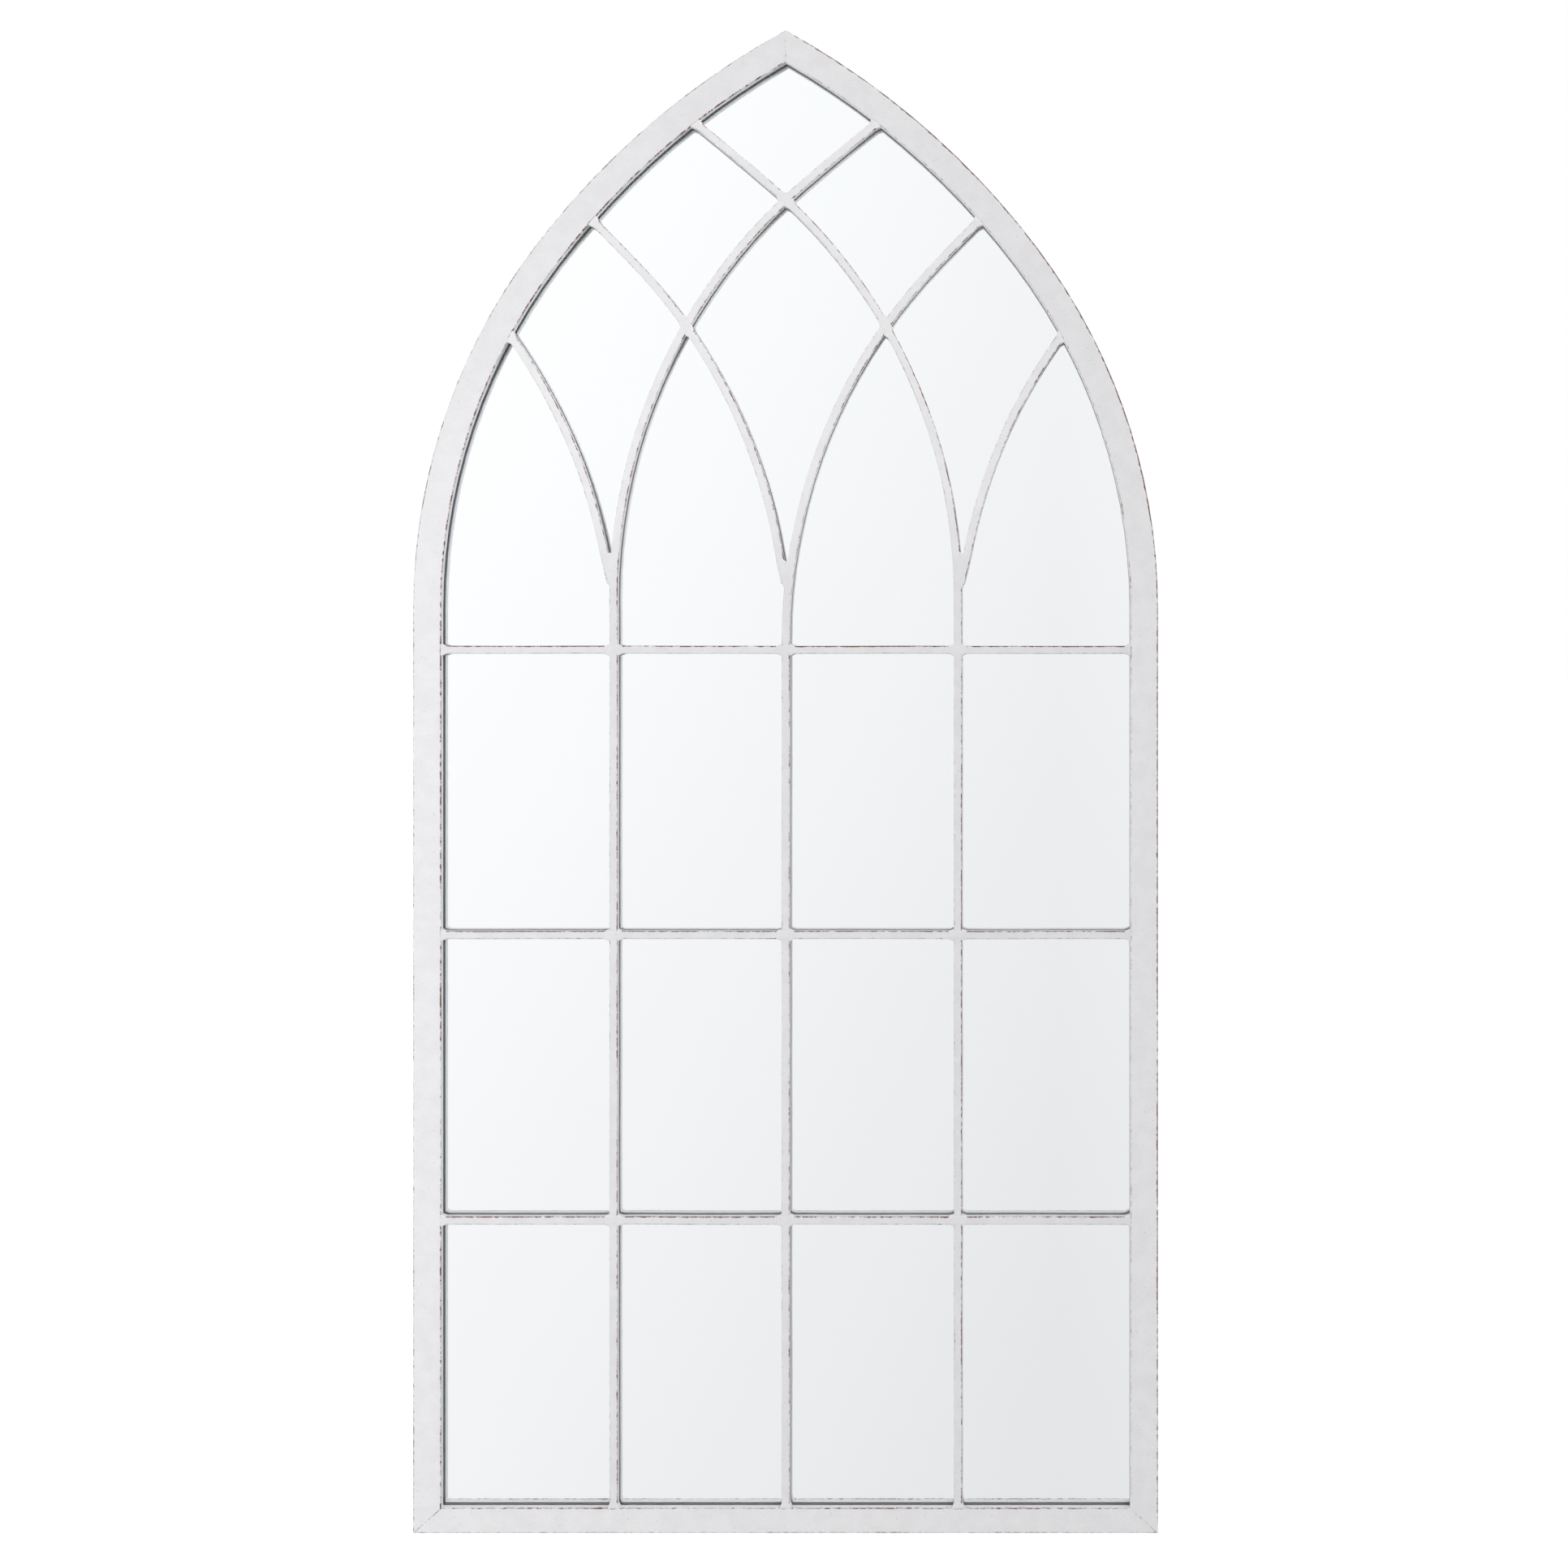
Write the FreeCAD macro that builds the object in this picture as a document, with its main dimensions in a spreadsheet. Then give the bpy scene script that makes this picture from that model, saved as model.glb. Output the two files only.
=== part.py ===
# Window mirror: a pointed-arch steel window with tracery, glazed with one sheet of mirror.
# X runs to the right, Y from the front of the mirror to the wall, Z up.
# The origin is on the wall, level with the bottom edge, under the middle of the mirror.
import FreeCAD, Part
import math
import os

import Sketcher

# Sizes in millimetres, angles in degrees
SIZES = {
    # Outline of the frame
    "width": 694,
    "spring_height": 862,
    "arch_radius": 557,
    "blend_angle": 37,
    "crown_radius": 738,
    # Front bars of the frame
    "stile_face": 26,
    "rail_face": 23,
    "face_depth": 6,
    # Rear bars, which make the rebate for the glass
    "rear_bar_width": 16,
    # Glazing bars and tracery
    "bar_face": 7.5,
    "bar_depth": 6.2,
    "bar_clearance": 0.3,
    "lowest_row_level": 291,
    "top_row_drop": 49,
    "tracery_tightening": 49,
    "tracery_crown_radius": 3000,
    "crossing_blend_angle": 49.5,
    "middle_blend_angle": 44,
    "tracery_sweep": 70,
    "tracery_rise": 10,
    "middle_spring_drop": 40,
    "side_spring_drop": 54,
    "branch_heel_lift": 12.5,
    # Glazing
    "tape_thickness": 0.6,
    "tape_width": 5,
    "glass_thickness": 3,
    "board_thickness": 3,
    "edge_clearance": 1,
    # Screws
    "screw_radius": 1.5,
    "screw_bite": 5.2,
    "thread_clearance": 0.03,
    "hole_spare": 0.6,
    "head_radius": 2.8,
    "head_crown_radius": 2,
    "head_height": 1.6,
    # Turn buttons
    "button_width": 10,
    "button_reach": 22,
    "button_thickness": 1.2,
    "button_clearance": 0.3,
    "pivot_clearance": 0.05,
    "low_button_share": 0.27,
    "high_button_share": 0.72,
    "rail_button_share": 0.5,
    "arch_button_angle": 20,
    "crown_button_angle": 13,
    # Hangers
    "hanger_drop": 62,
    "strap_width": 9,
    "strap_thickness": 1.2,
    "strap_length": 46,
    "strap_hole_clearance": 0.2,
    "near_screw_distance": 26,
    "far_screw_distance": 40,
    "ring_wire": 2.5,
    "ring_inner_width": 10.5,
    "ring_length": 18,
    "ring_play": 0.1,
    "ring_seat_gap": 0.4,
    # Wall bumpers
    "bumper_height": 6,
    "bumper_base_radius": 6.5,
    "bumper_face_radius": 5,
    "bumper_inset": 40,
    "crown_bumper_angle": 6,
    # Length by which a cutting solid passes what it cuts
    "overrun": 20,
}
BAYS = 4
ROWS = 3
LEFT, RIGHT = -1, 1
RIGHT_ANGLE = 90
STRAIGHT_ANGLE = 180

doc = FreeCAD.newDocument("window_mirror")
sheet = doc.addObject("Spreadsheet::Sheet", "Sizes")
for row, (alias, value) in enumerate(SIZES.items(), start=1):
    sheet.set(f"A{row}", alias)
    sheet.set(f"B{row}", str(value))
    sheet.setAlias(f"B{row}", alias)
doc.recompute()

# Distances that several pieces share
HALF_WIDTH = "(Sizes.width / 2)"
BAY_PITCH = f"((Sizes.width - 2 * Sizes.stile_face) / {BAYS})"
REBATE = "(Sizes.tape_thickness + Sizes.glass_thickness + Sizes.board_thickness)"
FRAME_BACK = f"(Sizes.bumper_height + {REBATE})"
GLASS_FRONT = "(Sizes.bumper_height + Sizes.board_thickness + Sizes.glass_thickness)"
BAR_BACK = f"({GLASS_FRONT} + Sizes.bar_clearance)"
GLASS_INSET = "(Sizes.rear_bar_width + Sizes.edge_clearance)"
LAND_MIDDLE = "(Sizes.rear_bar_width / 2)"
CROSSING_SPRING = "(Sizes.spring_height + Sizes.tracery_rise)"
MIDDLE_SPRING = f"({CROSSING_SPRING} - Sizes.middle_spring_drop)"
SIDE_SPRING = f"({CROSSING_SPRING} - Sizes.side_spring_drop)"
BRANCH_HEEL = f"({CROSSING_SPRING} + Sizes.branch_heel_lift)"
TRACERY_RADIUS = "(Sizes.arch_radius - Sizes.tracery_tightening)"
OUTER_BAR_RADIUS = f"({TRACERY_RADIUS} + Sizes.bar_face / 2)"
INNER_BAR_RADIUS = f"({TRACERY_RADIUS} - Sizes.bar_face / 2)"
OUTER_CROWN_RADIUS = "(Sizes.tracery_crown_radius + Sizes.bar_face / 2)"
INNER_CROWN_RADIUS = "(Sizes.tracery_crown_radius - Sizes.bar_face / 2)"
ABOVE_ALL = "(Sizes.spring_height + Sizes.arch_radius + Sizes.crown_radius)"
HANGER_LEVEL = "(Sizes.spring_height - Sizes.hanger_drop)"

nodes = {}


def number(expression):
    """The present value of an expression in the sheet's sizes."""
    return float(sheet.evalExpression(expression))


def node(piece):
    """Name a finished piece after its object, and keep it for the export."""
    piece.Label = piece.Name
    nodes[piece.Name] = piece
    return piece


def bind(piece, expressions):
    """Tie properties of a piece to expressions."""
    for name, expression in expressions.items():
        piece.setExpression(name, expression)


def place(piece, x, y, z):
    bind(piece, {"Placement.Base.x": x, "Placement.Base.y": y, "Placement.Base.z": z})


# Sketched plates: each lies in an upright plane and grows towards the front
def plate(name, standoff):
    """A body with an empty sketch in an upright plane, at a distance from the wall."""
    body = doc.addObject("PartDesign::Body", name)
    sketch = body.newObject("Sketcher::SketchObject", name + "_outline")
    upright = next(f for f in body.Origin.OriginFeatures if f.Role == "XZ_Plane")
    sketch.AttachmentSupport = [(upright, "")]
    sketch.MapMode = "FlatFace"
    if standoff != "0":
        sketch.setExpression("AttachmentOffset.Base.z", standoff)
    return body, sketch


def grow(body, sketch, thickness):
    """Pad the sketch towards the front."""
    pad = body.newObject("PartDesign::Pad", body.Name + "_pad")
    pad.Profile = sketch
    pad.setExpression("Length", thickness)
    return body


def dimension(sketch, kind, where, expression):
    """Add a driven dimension to a sketch."""
    index = sketch.addConstraint(Sketcher.Constraint(kind, *where, number(expression)))
    sketch.setExpression(f"Constraints[{index}]", expression)


def join(sketch, first, first_end, second, second_end):
    sketch.addConstraint(Sketcher.Constraint("Coincident", first, first_end, second, second_end))


def line(sketch, start, end):
    """A line between two points given as numbers."""
    segment = Part.LineSegment(FreeCAD.Vector(*start, 0), FreeCAD.Vector(*end, 0))
    return sketch.addGeometry(segment, False)


def arc(sketch, centre, radius, start_angle, end_angle):
    """An anticlockwise arc given as numbers, with angles in degrees."""
    circle = Part.Circle(FreeCAD.Vector(*centre, 0), FreeCAD.Vector(0, 0, 1), radius)
    curve = Part.ArcOfCircle(circle, math.radians(start_angle), math.radians(end_angle))
    return sketch.addGeometry(curve, False)


def pin(sketch, item, end, x, z):
    """Fix a point of a sketch; a zero puts it on the sketch's own axis."""
    for kind, axis, expression in (("DistanceX", -2, x), ("DistanceY", -1, z)):
        if expression == "0":
            sketch.addConstraint(Sketcher.Constraint("PointOnObject", item, end, axis))
        else:
            dimension(sketch, kind, (-1, 1, item, end), expression)


def polygon(sketch, corners):
    """A closed straight-sided outline through corners given as expressions."""
    points = [(number(x), number(z)) for x, z in corners]
    sides = [line(sketch, points[i - 1], points[i]) for i in range(len(points))]
    for i, (x, z) in enumerate(corners):
        join(sketch, sides[i], 2, sides[(i + 1) % len(sides)], 1)
        pin(sketch, sides[i], 2, x, z)


def pointed_loop(sketch, side_inset, bottom_inset):
    """A pointed-arch outline, set in from the outer edge of the frame.

    Each side of the arch is a lower arc and a flatter crown arc, tangent at the blend angle."""
    lower_radius = f"(Sizes.arch_radius - {side_inset})"
    upper_radius = f"(Sizes.crown_radius - {side_inset})"
    centre_offset = f"(Sizes.arch_radius - {HALF_WIDTH})"
    blend_level = f"(Sizes.spring_height + {lower_radius} * sin(Sizes.blend_angle))"

    half = number(f"{HALF_WIDTH} - {side_inset}")
    bottom = number(bottom_inset)
    spring = number("Sizes.spring_height")
    blend = number("Sizes.blend_angle")
    lower = number(lower_radius)
    upper = number(upper_radius)
    offset = number(centre_offset)
    crown_offset = offset + (upper - lower) * math.cos(math.radians(blend))
    crown_level = spring - (upper - lower) * math.sin(math.radians(blend))
    apex = math.degrees(math.acos(crown_offset / upper))

    base = line(sketch, (-half, bottom), (half, bottom))
    right_side = line(sketch, (half, bottom), (half, spring))
    right_arch = arc(sketch, (-offset, spring), lower, 0, blend)
    right_crown = arc(sketch, (-crown_offset, crown_level), upper, blend, apex)
    left_crown = arc(
        sketch, (crown_offset, crown_level), upper, STRAIGHT_ANGLE - apex, STRAIGHT_ANGLE - blend)
    left_arch = arc(sketch, (offset, spring), lower, STRAIGHT_ANGLE - blend, STRAIGHT_ANGLE)
    left_side = line(sketch, (-half, spring), (-half, bottom))

    join(sketch, base, 2, right_side, 1)
    join(sketch, right_side, 2, right_arch, 1)
    sketch.addConstraint(Sketcher.Constraint("Tangent", right_arch, 2, right_crown, 1))
    join(sketch, right_crown, 2, left_crown, 1)
    sketch.addConstraint(Sketcher.Constraint("Tangent", left_crown, 2, left_arch, 1))
    join(sketch, left_arch, 2, left_side, 1)
    join(sketch, left_side, 2, base, 1)
    sketch.addConstraint(Sketcher.Constraint("Horizontal", base))
    sketch.addConstraint(Sketcher.Constraint("Vertical", right_side))
    sketch.addConstraint(Sketcher.Constraint("Vertical", left_side))
    if bottom_inset == "0":
        sketch.addConstraint(Sketcher.Constraint("PointOnObject", base, 1, -1))
    else:
        dimension(sketch, "DistanceY", (-1, 1, base, 1), bottom_inset)
    for lower_arc, upper_arc, spring_end, blend_end, centre_x in (
            (right_arch, right_crown, 1, 2, f"-{centre_offset}"),
            (left_arch, left_crown, 2, 1, centre_offset)):
        pin(sketch, lower_arc, 3, centre_x, "Sizes.spring_height")
        dimension(sketch, "Radius", (lower_arc,), lower_radius)
        dimension(sketch, "Radius", (upper_arc,), upper_radius)
        dimension(sketch, "DistanceY", (-1, 1, lower_arc, spring_end), "Sizes.spring_height")
        dimension(sketch, "DistanceY", (-1, 1, lower_arc, blend_end), blend_level)


def pointed_plate(name, side_inset, bottom_inset, standoff, thickness):
    body, sketch = plate(name, standoff)
    pointed_loop(sketch, side_inset, bottom_inset)
    return grow(body, sketch, thickness)


# Solids from primitives and booleans
def box(name, corner, size):
    piece = doc.addObject("Part::Box", name)
    bind(piece, dict(zip(("Length", "Width", "Height"), size)))
    place(piece, *corner)
    return piece


def upright_to_wall(piece):
    """Turn a round primitive so that its axis points at the wall."""
    turn = FreeCAD.Rotation(FreeCAD.Vector(1, 0, 0), -RIGHT_ANGLE)
    piece.Placement = FreeCAD.Placement(FreeCAD.Vector(), turn)


def peg(name, radius, start, length):
    """A cylinder whose axis points at the wall."""
    piece = doc.addObject("Part::Cylinder", name)
    upright_to_wall(piece)
    bind(piece, {"Radius": radius, "Height": length})
    place(piece, *start)
    return piece


def taper(name, front_radius, back_radius, start, length):
    """A cone whose axis points at the wall."""
    piece = doc.addObject("Part::Cone", name)
    upright_to_wall(piece)
    bind(piece, {"Radius1": front_radius, "Radius2": back_radius, "Height": length})
    place(piece, *start)
    return piece


def cross_rod(name, radius, middle, length):
    """A cylinder along X, centred on a point."""
    piece = doc.addObject("Part::Cylinder", name)
    turn = FreeCAD.Rotation(FreeCAD.Vector(0, 1, 0), RIGHT_ANGLE)
    piece.Placement = FreeCAD.Placement(FreeCAD.Vector(), turn)
    bind(piece, {"Radius": radius, "Height": length})
    x, y, z = middle
    place(piece, f"{x} - {length} / 2", y, z)
    return piece


def two_solids(kind, name, base, tool):
    piece = doc.addObject(kind, name)
    piece.Base = base
    piece.Tool = tool
    return piece


def cut(name, base, tool):
    return two_solids("Part::Cut", name, base, tool)


def common(name, base, tool):
    return two_solids("Part::Common", name, base, tool)


def fuse(name, pieces):
    piece = doc.addObject("Part::MultiFuse", name)
    piece.Shapes = pieces
    return piece


def group(name, pieces):
    """Separate solids that share one node."""
    piece = doc.addObject("Part::Compound", name)
    piece.Links = pieces
    return piece


# Points on the middle of the rear bars' back faces
def on_stile(side, level):
    return f"{side} * ({HALF_WIDTH} - {LAND_MIDDLE})", level


def on_arch(side, angle):
    """A point on the lower arc, at an angle above the spring line."""
    x = f"{side} * ({HALF_WIDTH} - Sizes.arch_radius + (Sizes.arch_radius - {LAND_MIDDLE}) * cos({angle}))"
    return x, f"Sizes.spring_height + (Sizes.arch_radius - {LAND_MIDDLE}) * sin({angle})"


def on_crown(side, angle):
    """A point on the crown arc, at an angle past the blend."""
    turn = f"(Sizes.blend_angle + {angle})"
    step = "(Sizes.crown_radius - Sizes.arch_radius)"
    radius = f"(Sizes.crown_radius - {LAND_MIDDLE})"
    x = (f"{side} * ({HALF_WIDTH} - Sizes.arch_radius - {step} * cos(Sizes.blend_angle)"
         f" + {radius} * cos({turn}))")
    return x, f"Sizes.spring_height - {step} * sin(Sizes.blend_angle) + {radius} * sin({turn})"


# Frame: rings cut into a mitred bottom length and two sides that meet at the apex
SIDE_NAMES = {LEFT: "left", RIGHT: "right"}
half_spaces = {}
for side, side_name in SIDE_NAMES.items():
    reach = f"({HALF_WIDTH} + Sizes.overrun)"
    corner_x = f"-{reach}" if side == LEFT else "0"
    half_spaces[side] = box(
        side_name + "_half",
        (corner_x, f"-({FRAME_BACK} + Sizes.face_depth + Sizes.overrun)", "-Sizes.overrun"),
        (reach, f"{FRAME_BACK} + Sizes.face_depth + 2 * Sizes.overrun", f"{ABOVE_ALL}"))


def mitred_ring(suffix, outer_inset, side_inset, bottom_inset, standoff, thickness):
    """A pointed ring in three lengths: returns the left and right ones, and the bottom one."""
    ring_body, ring_sketch = plate("ring_" + suffix, standoff)
    pointed_loop(ring_sketch, outer_inset, outer_inset)
    pointed_loop(ring_sketch, side_inset, bottom_inset)
    grow(ring_body, ring_sketch, thickness)

    outer_x = f"({HALF_WIDTH} - {outer_inset})"
    inner_x = f"({HALF_WIDTH} - {side_inset})"
    bottom, bottom_sketch = plate("bottom_" + suffix, standoff)
    polygon(bottom_sketch, [
        (f"-{outer_x}", outer_inset),
        (outer_x, outer_inset),
        (inner_x, bottom_inset),
        (f"-{inner_x}", bottom_inset)])
    grow(bottom, bottom_sketch, thickness)

    arch = cut("arch_" + suffix, ring_body, bottom)
    sides = {
        side: common(f"{side_name}_{suffix}", arch, half_spaces[side])
        for side, side_name in SIDE_NAMES.items()}
    return sides, bottom


frame_sides, frame_bottom = mitred_ring(
    "frame_bar", "0", "Sizes.stile_face", "Sizes.rail_face", FRAME_BACK, "Sizes.face_depth")
for piece in (*frame_sides.values(), frame_bottom):
    node(piece)

tape_sides, tape_bottom = mitred_ring(
    "glazing_tape", GLASS_INSET, f"({GLASS_INSET} + Sizes.tape_width)", f"({GLASS_INSET} + Sizes.tape_width)",
    GLASS_FRONT, "Sizes.tape_thickness")
for piece in (*tape_sides.values(), tape_bottom):
    node(piece)

node(pointed_plate(
    "mirror_glass", GLASS_INSET, GLASS_INSET,
    "(Sizes.bumper_height + Sizes.board_thickness)", "Sizes.glass_thickness"))
node(pointed_plate(
    "backing_board", GLASS_INSET, GLASS_INSET, "Sizes.bumper_height", "Sizes.board_thickness"))


# Glazing bars: uprights that bend over into the arch, and branches welded to their sides.
# They stand a little behind the front of the frame, and reach back almost to the glass
opening = pointed_plate("opening", "Sizes.stile_face", "Sizes.rail_face", BAR_BACK, "Sizes.bar_depth")


def bar_edge(sketch, centre_x, spring, radius, crown_radius, blend, lean, foot, top):
    """One edge of a bent bar, an arc and a flatter crown arc: returns its foot end and its top end."""
    lower = number(radius)
    upper = number(crown_radius)
    blend_angle = number(blend)
    foot_angle = math.degrees(math.asin(number(f"{foot} - {spring}") / lower))
    centre = (number(centre_x), number(spring))
    crown_centre = (
        centre[0] + lean * (upper - lower) * math.cos(math.radians(blend_angle)),
        centre[1] - (upper - lower) * math.sin(math.radians(blend_angle)))
    top_angle = math.degrees(math.asin((number(top) - crown_centre[1]) / upper))
    if lean == RIGHT:
        bend = arc(sketch, centre, lower, STRAIGHT_ANGLE - blend_angle, STRAIGHT_ANGLE - foot_angle)
        crown = arc(sketch, crown_centre, upper, STRAIGHT_ANGLE - top_angle, STRAIGHT_ANGLE - blend_angle)
    else:
        bend = arc(sketch, centre, lower, foot_angle, blend_angle)
        crown = arc(sketch, crown_centre, upper, blend_angle, top_angle)
    foot_end, top_end = (2, 1) if lean == RIGHT else (1, 2)
    pin(sketch, bend, 3, centre_x, spring)
    dimension(sketch, "Radius", (bend,), radius)
    dimension(sketch, "DistanceY", (-1, 1, bend, foot_end), foot)
    dimension(sketch, "DistanceY", (-1, 1, bend, top_end), f"{spring} + {radius} * sin({blend})")
    sketch.addConstraint(Sketcher.Constraint("Tangent", bend, top_end, crown, foot_end))
    dimension(sketch, "Radius", (crown,), crown_radius)
    dimension(sketch, "DistanceY", (-1, 1, crown, top_end), top)
    return (bend, foot_end), (crown, top_end)


def bent_bar(name, upright_x, spring, blend, lean, heel=None):
    """A square bar curving over from an upright, with its own upright leg or cut off at a heel."""
    body, sketch = plate(name, BAR_BACK)
    centre_x = f"({upright_x} + {lean} * {TRACERY_RADIUS})"
    top = f"({spring} + {INNER_BAR_RADIUS} * sin(Sizes.tracery_sweep))"
    foot = heel or spring
    edges = [bar_edge(sketch, centre_x, spring, radius, crown_radius, blend, lean, foot, top)
             for radius, crown_radius in (
                 (OUTER_BAR_RADIUS, OUTER_CROWN_RADIUS), (INNER_BAR_RADIUS, INNER_CROWN_RADIUS))]

    def end_of(edge, end):
        point = sketch.getPoint(edge, end)
        return point.x, point.y

    foot_points = [foot_point for foot_point, top_point in edges]
    top_points = [top_point for foot_point, top_point in edges]
    cap = line(sketch, *(end_of(*point) for point in top_points))
    for cap_end, point in enumerate(top_points, start=1):
        join(sketch, *point, cap, cap_end)
    if heel is None:
        legs = []
        for edge, end in foot_points:
            x, z = end_of(edge, end)
            leg = line(sketch, (x, z), (x, number("Sizes.rail_face")))
            join(sketch, edge, end, leg, 1)
            sketch.addConstraint(Sketcher.Constraint("Vertical", leg))
            dimension(sketch, "DistanceY", (-1, 1, leg, 2), "Sizes.rail_face")
            legs.append((leg, 2))
        foot_points = legs
    base = line(sketch, *(end_of(*point) for point in foot_points))
    for base_end, point in enumerate(foot_points, start=1):
        join(sketch, *point, base, base_end)
    return grow(body, sketch, "Sizes.bar_depth")


def bar_disc(name, upright_x, spring, lean, radius):
    """The disc inside one edge of a bent bar, through the whole depth of the frame."""
    centre_x = f"{upright_x} + {lean} * {TRACERY_RADIUS}"
    depth = f"({FRAME_BACK} + Sizes.face_depth + Sizes.overrun)"
    return peg(name, radius, (centre_x, f"-{depth}", spring), depth)


LEFT_UPRIGHT = f"(-{BAY_PITCH})"
MIDDLE_UPRIGHT = "0"
RIGHT_UPRIGHT = BAY_PITCH

CROSSING_BLEND = "Sizes.crossing_blend_angle"
MIDDLE_BLEND = "Sizes.middle_blend_angle"

left_blank = bent_bar("left_glazing_blank", LEFT_UPRIGHT, CROSSING_SPRING, CROSSING_BLEND, RIGHT)
middle_blank = bent_bar("middle_glazing_blank", MIDDLE_UPRIGHT, MIDDLE_SPRING, MIDDLE_BLEND, RIGHT)
right_blank = bent_bar("right_glazing_blank", RIGHT_UPRIGHT, CROSSING_SPRING, CROSSING_BLEND, LEFT)
left_bar = node(common("left_glazing_bar", left_blank, opening))
middle_bar = node(common("middle_glazing_bar", middle_blank, opening))

# The right bar stops at the middle bar, and goes on between the middle and left bars and above them
inside_left = bar_disc("inside_left_bar", LEFT_UPRIGHT, CROSSING_SPRING, RIGHT, INNER_BAR_RADIUS)
within_left = bar_disc("within_left_bar", LEFT_UPRIGHT, CROSSING_SPRING, RIGHT, OUTER_BAR_RADIUS)
inside_middle = bar_disc("inside_middle_bar", MIDDLE_UPRIGHT, MIDDLE_SPRING, RIGHT, INNER_BAR_RADIUS)
within_middle = bar_disc("within_middle_bar", MIDDLE_UPRIGHT, MIDDLE_SPRING, RIGHT, OUTER_BAR_RADIUS)

# The leg of the right bar lies below the disc of the middle bar's curve
right_leg_space = box(
    "right_leg_space",
    (f"{BAY_PITCH} / 2", f"-({FRAME_BACK} + Sizes.face_depth + Sizes.overrun)", "0"),
    (f"{HALF_WIDTH}", f"{FRAME_BACK} + Sizes.face_depth + Sizes.overrun", CROSSING_SPRING))
right_lower_space = fuse("right_lower_space", [inside_middle, right_leg_space])
right_in_frame = common("right_bar_in_frame", right_blank, opening)
right_bar = node(common("right_glazing_bar", right_in_frame, right_lower_space))
to_middle = fuse("to_middle", [within_middle, right_leg_space])
past_middle = cut("right_bar_past_middle", right_in_frame, to_middle)
node(common("right_tracery_middle", past_middle, inside_left))
node(cut("right_tracery_top", past_middle, within_left))

# Branches spring from the uprights and are cut to lie against them
left_branch = bent_bar(
    "left_branch_blank", LEFT_UPRIGHT, SIDE_SPRING, MIDDLE_BLEND, LEFT, BRANCH_HEEL)
left_branch_in_frame = common("left_branch_in_frame", left_branch, opening)
node(cut("left_side_branch", left_branch_in_frame, left_bar))

right_branch = bent_bar(
    "right_branch_blank", RIGHT_UPRIGHT, SIDE_SPRING, MIDDLE_BLEND, RIGHT, BRANCH_HEEL)
right_branch_in_frame = common("right_branch_in_frame", right_branch, opening)
node(cut("right_side_branch", right_branch_in_frame, right_bar))

middle_branch = bent_bar(
    "middle_branch_blank", MIDDLE_UPRIGHT, MIDDLE_SPRING, MIDDLE_BLEND, LEFT, BRANCH_HEEL)
middle_branch_in_frame = common("middle_branch_in_frame", middle_branch, opening)
middle_branch_fitted = cut("middle_branch_fitted", middle_branch_in_frame, middle_bar)
node(common("middle_branch_lower", middle_branch_fitted, inside_left))
node(cut("middle_branch_upper", middle_branch_fitted, within_left))


# Cross bars between the uprights, counted from the top row and from the left bay
TOP_ROW_LEVEL = f"({CROSSING_SPRING} - Sizes.top_row_drop)"
ROW_PITCH = f"(({TOP_ROW_LEVEL} - Sizes.lowest_row_level) / {ROWS - 1})"
for row in range(ROWS):
    for bay in range(BAYS):
        at_left_stile = bay == 0
        at_right_stile = bay == BAYS - 1
        left_trim = "0" if at_left_stile else "Sizes.bar_face / 2"
        right_trim = "0" if at_right_stile else "Sizes.bar_face / 2"
        bay_left = f"-{HALF_WIDTH} + Sizes.stile_face + {bay} * {BAY_PITCH}"
        corner = (
            f"{bay_left} + {left_trim}",
            f"-({BAR_BACK} + Sizes.bar_depth)",
            f"{TOP_ROW_LEVEL} - {row} * {ROW_PITCH} - Sizes.bar_face / 2")
        size = (f"{BAY_PITCH} - {left_trim} - {right_trim}", "Sizes.bar_depth", "Sizes.bar_face")
        node(box(f"cross_bar_row{row + 1}_bay{bay + 1}", corner, size))


# Screws into the rear bars
def screw(name, x, z, seat):
    """A pan-head screw: its head sits at a height above the rear bar's back face."""
    seat_y = f"-Sizes.bumper_height + {seat}"
    shank_start = "-Sizes.bumper_height - Sizes.screw_bite"
    head = taper(name + "_head", "Sizes.head_radius", "Sizes.head_crown_radius", (x, seat_y, z),
                 "Sizes.head_height")
    shank = peg(name + "_shank", "Sizes.screw_radius", (x, shank_start, z), f"Sizes.screw_bite + {seat}")
    return fuse(name, [head, shank])


def screw_hole(name, x, z):
    """The tapped hole for a screw, open at the rear bar's back face."""
    depth = "(Sizes.screw_bite + Sizes.hole_spare)"
    return peg(name, "Sizes.screw_radius + Sizes.thread_clearance",
               (x, f"-Sizes.bumper_height - {depth}", z), f"{depth} + Sizes.overrun")


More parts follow.
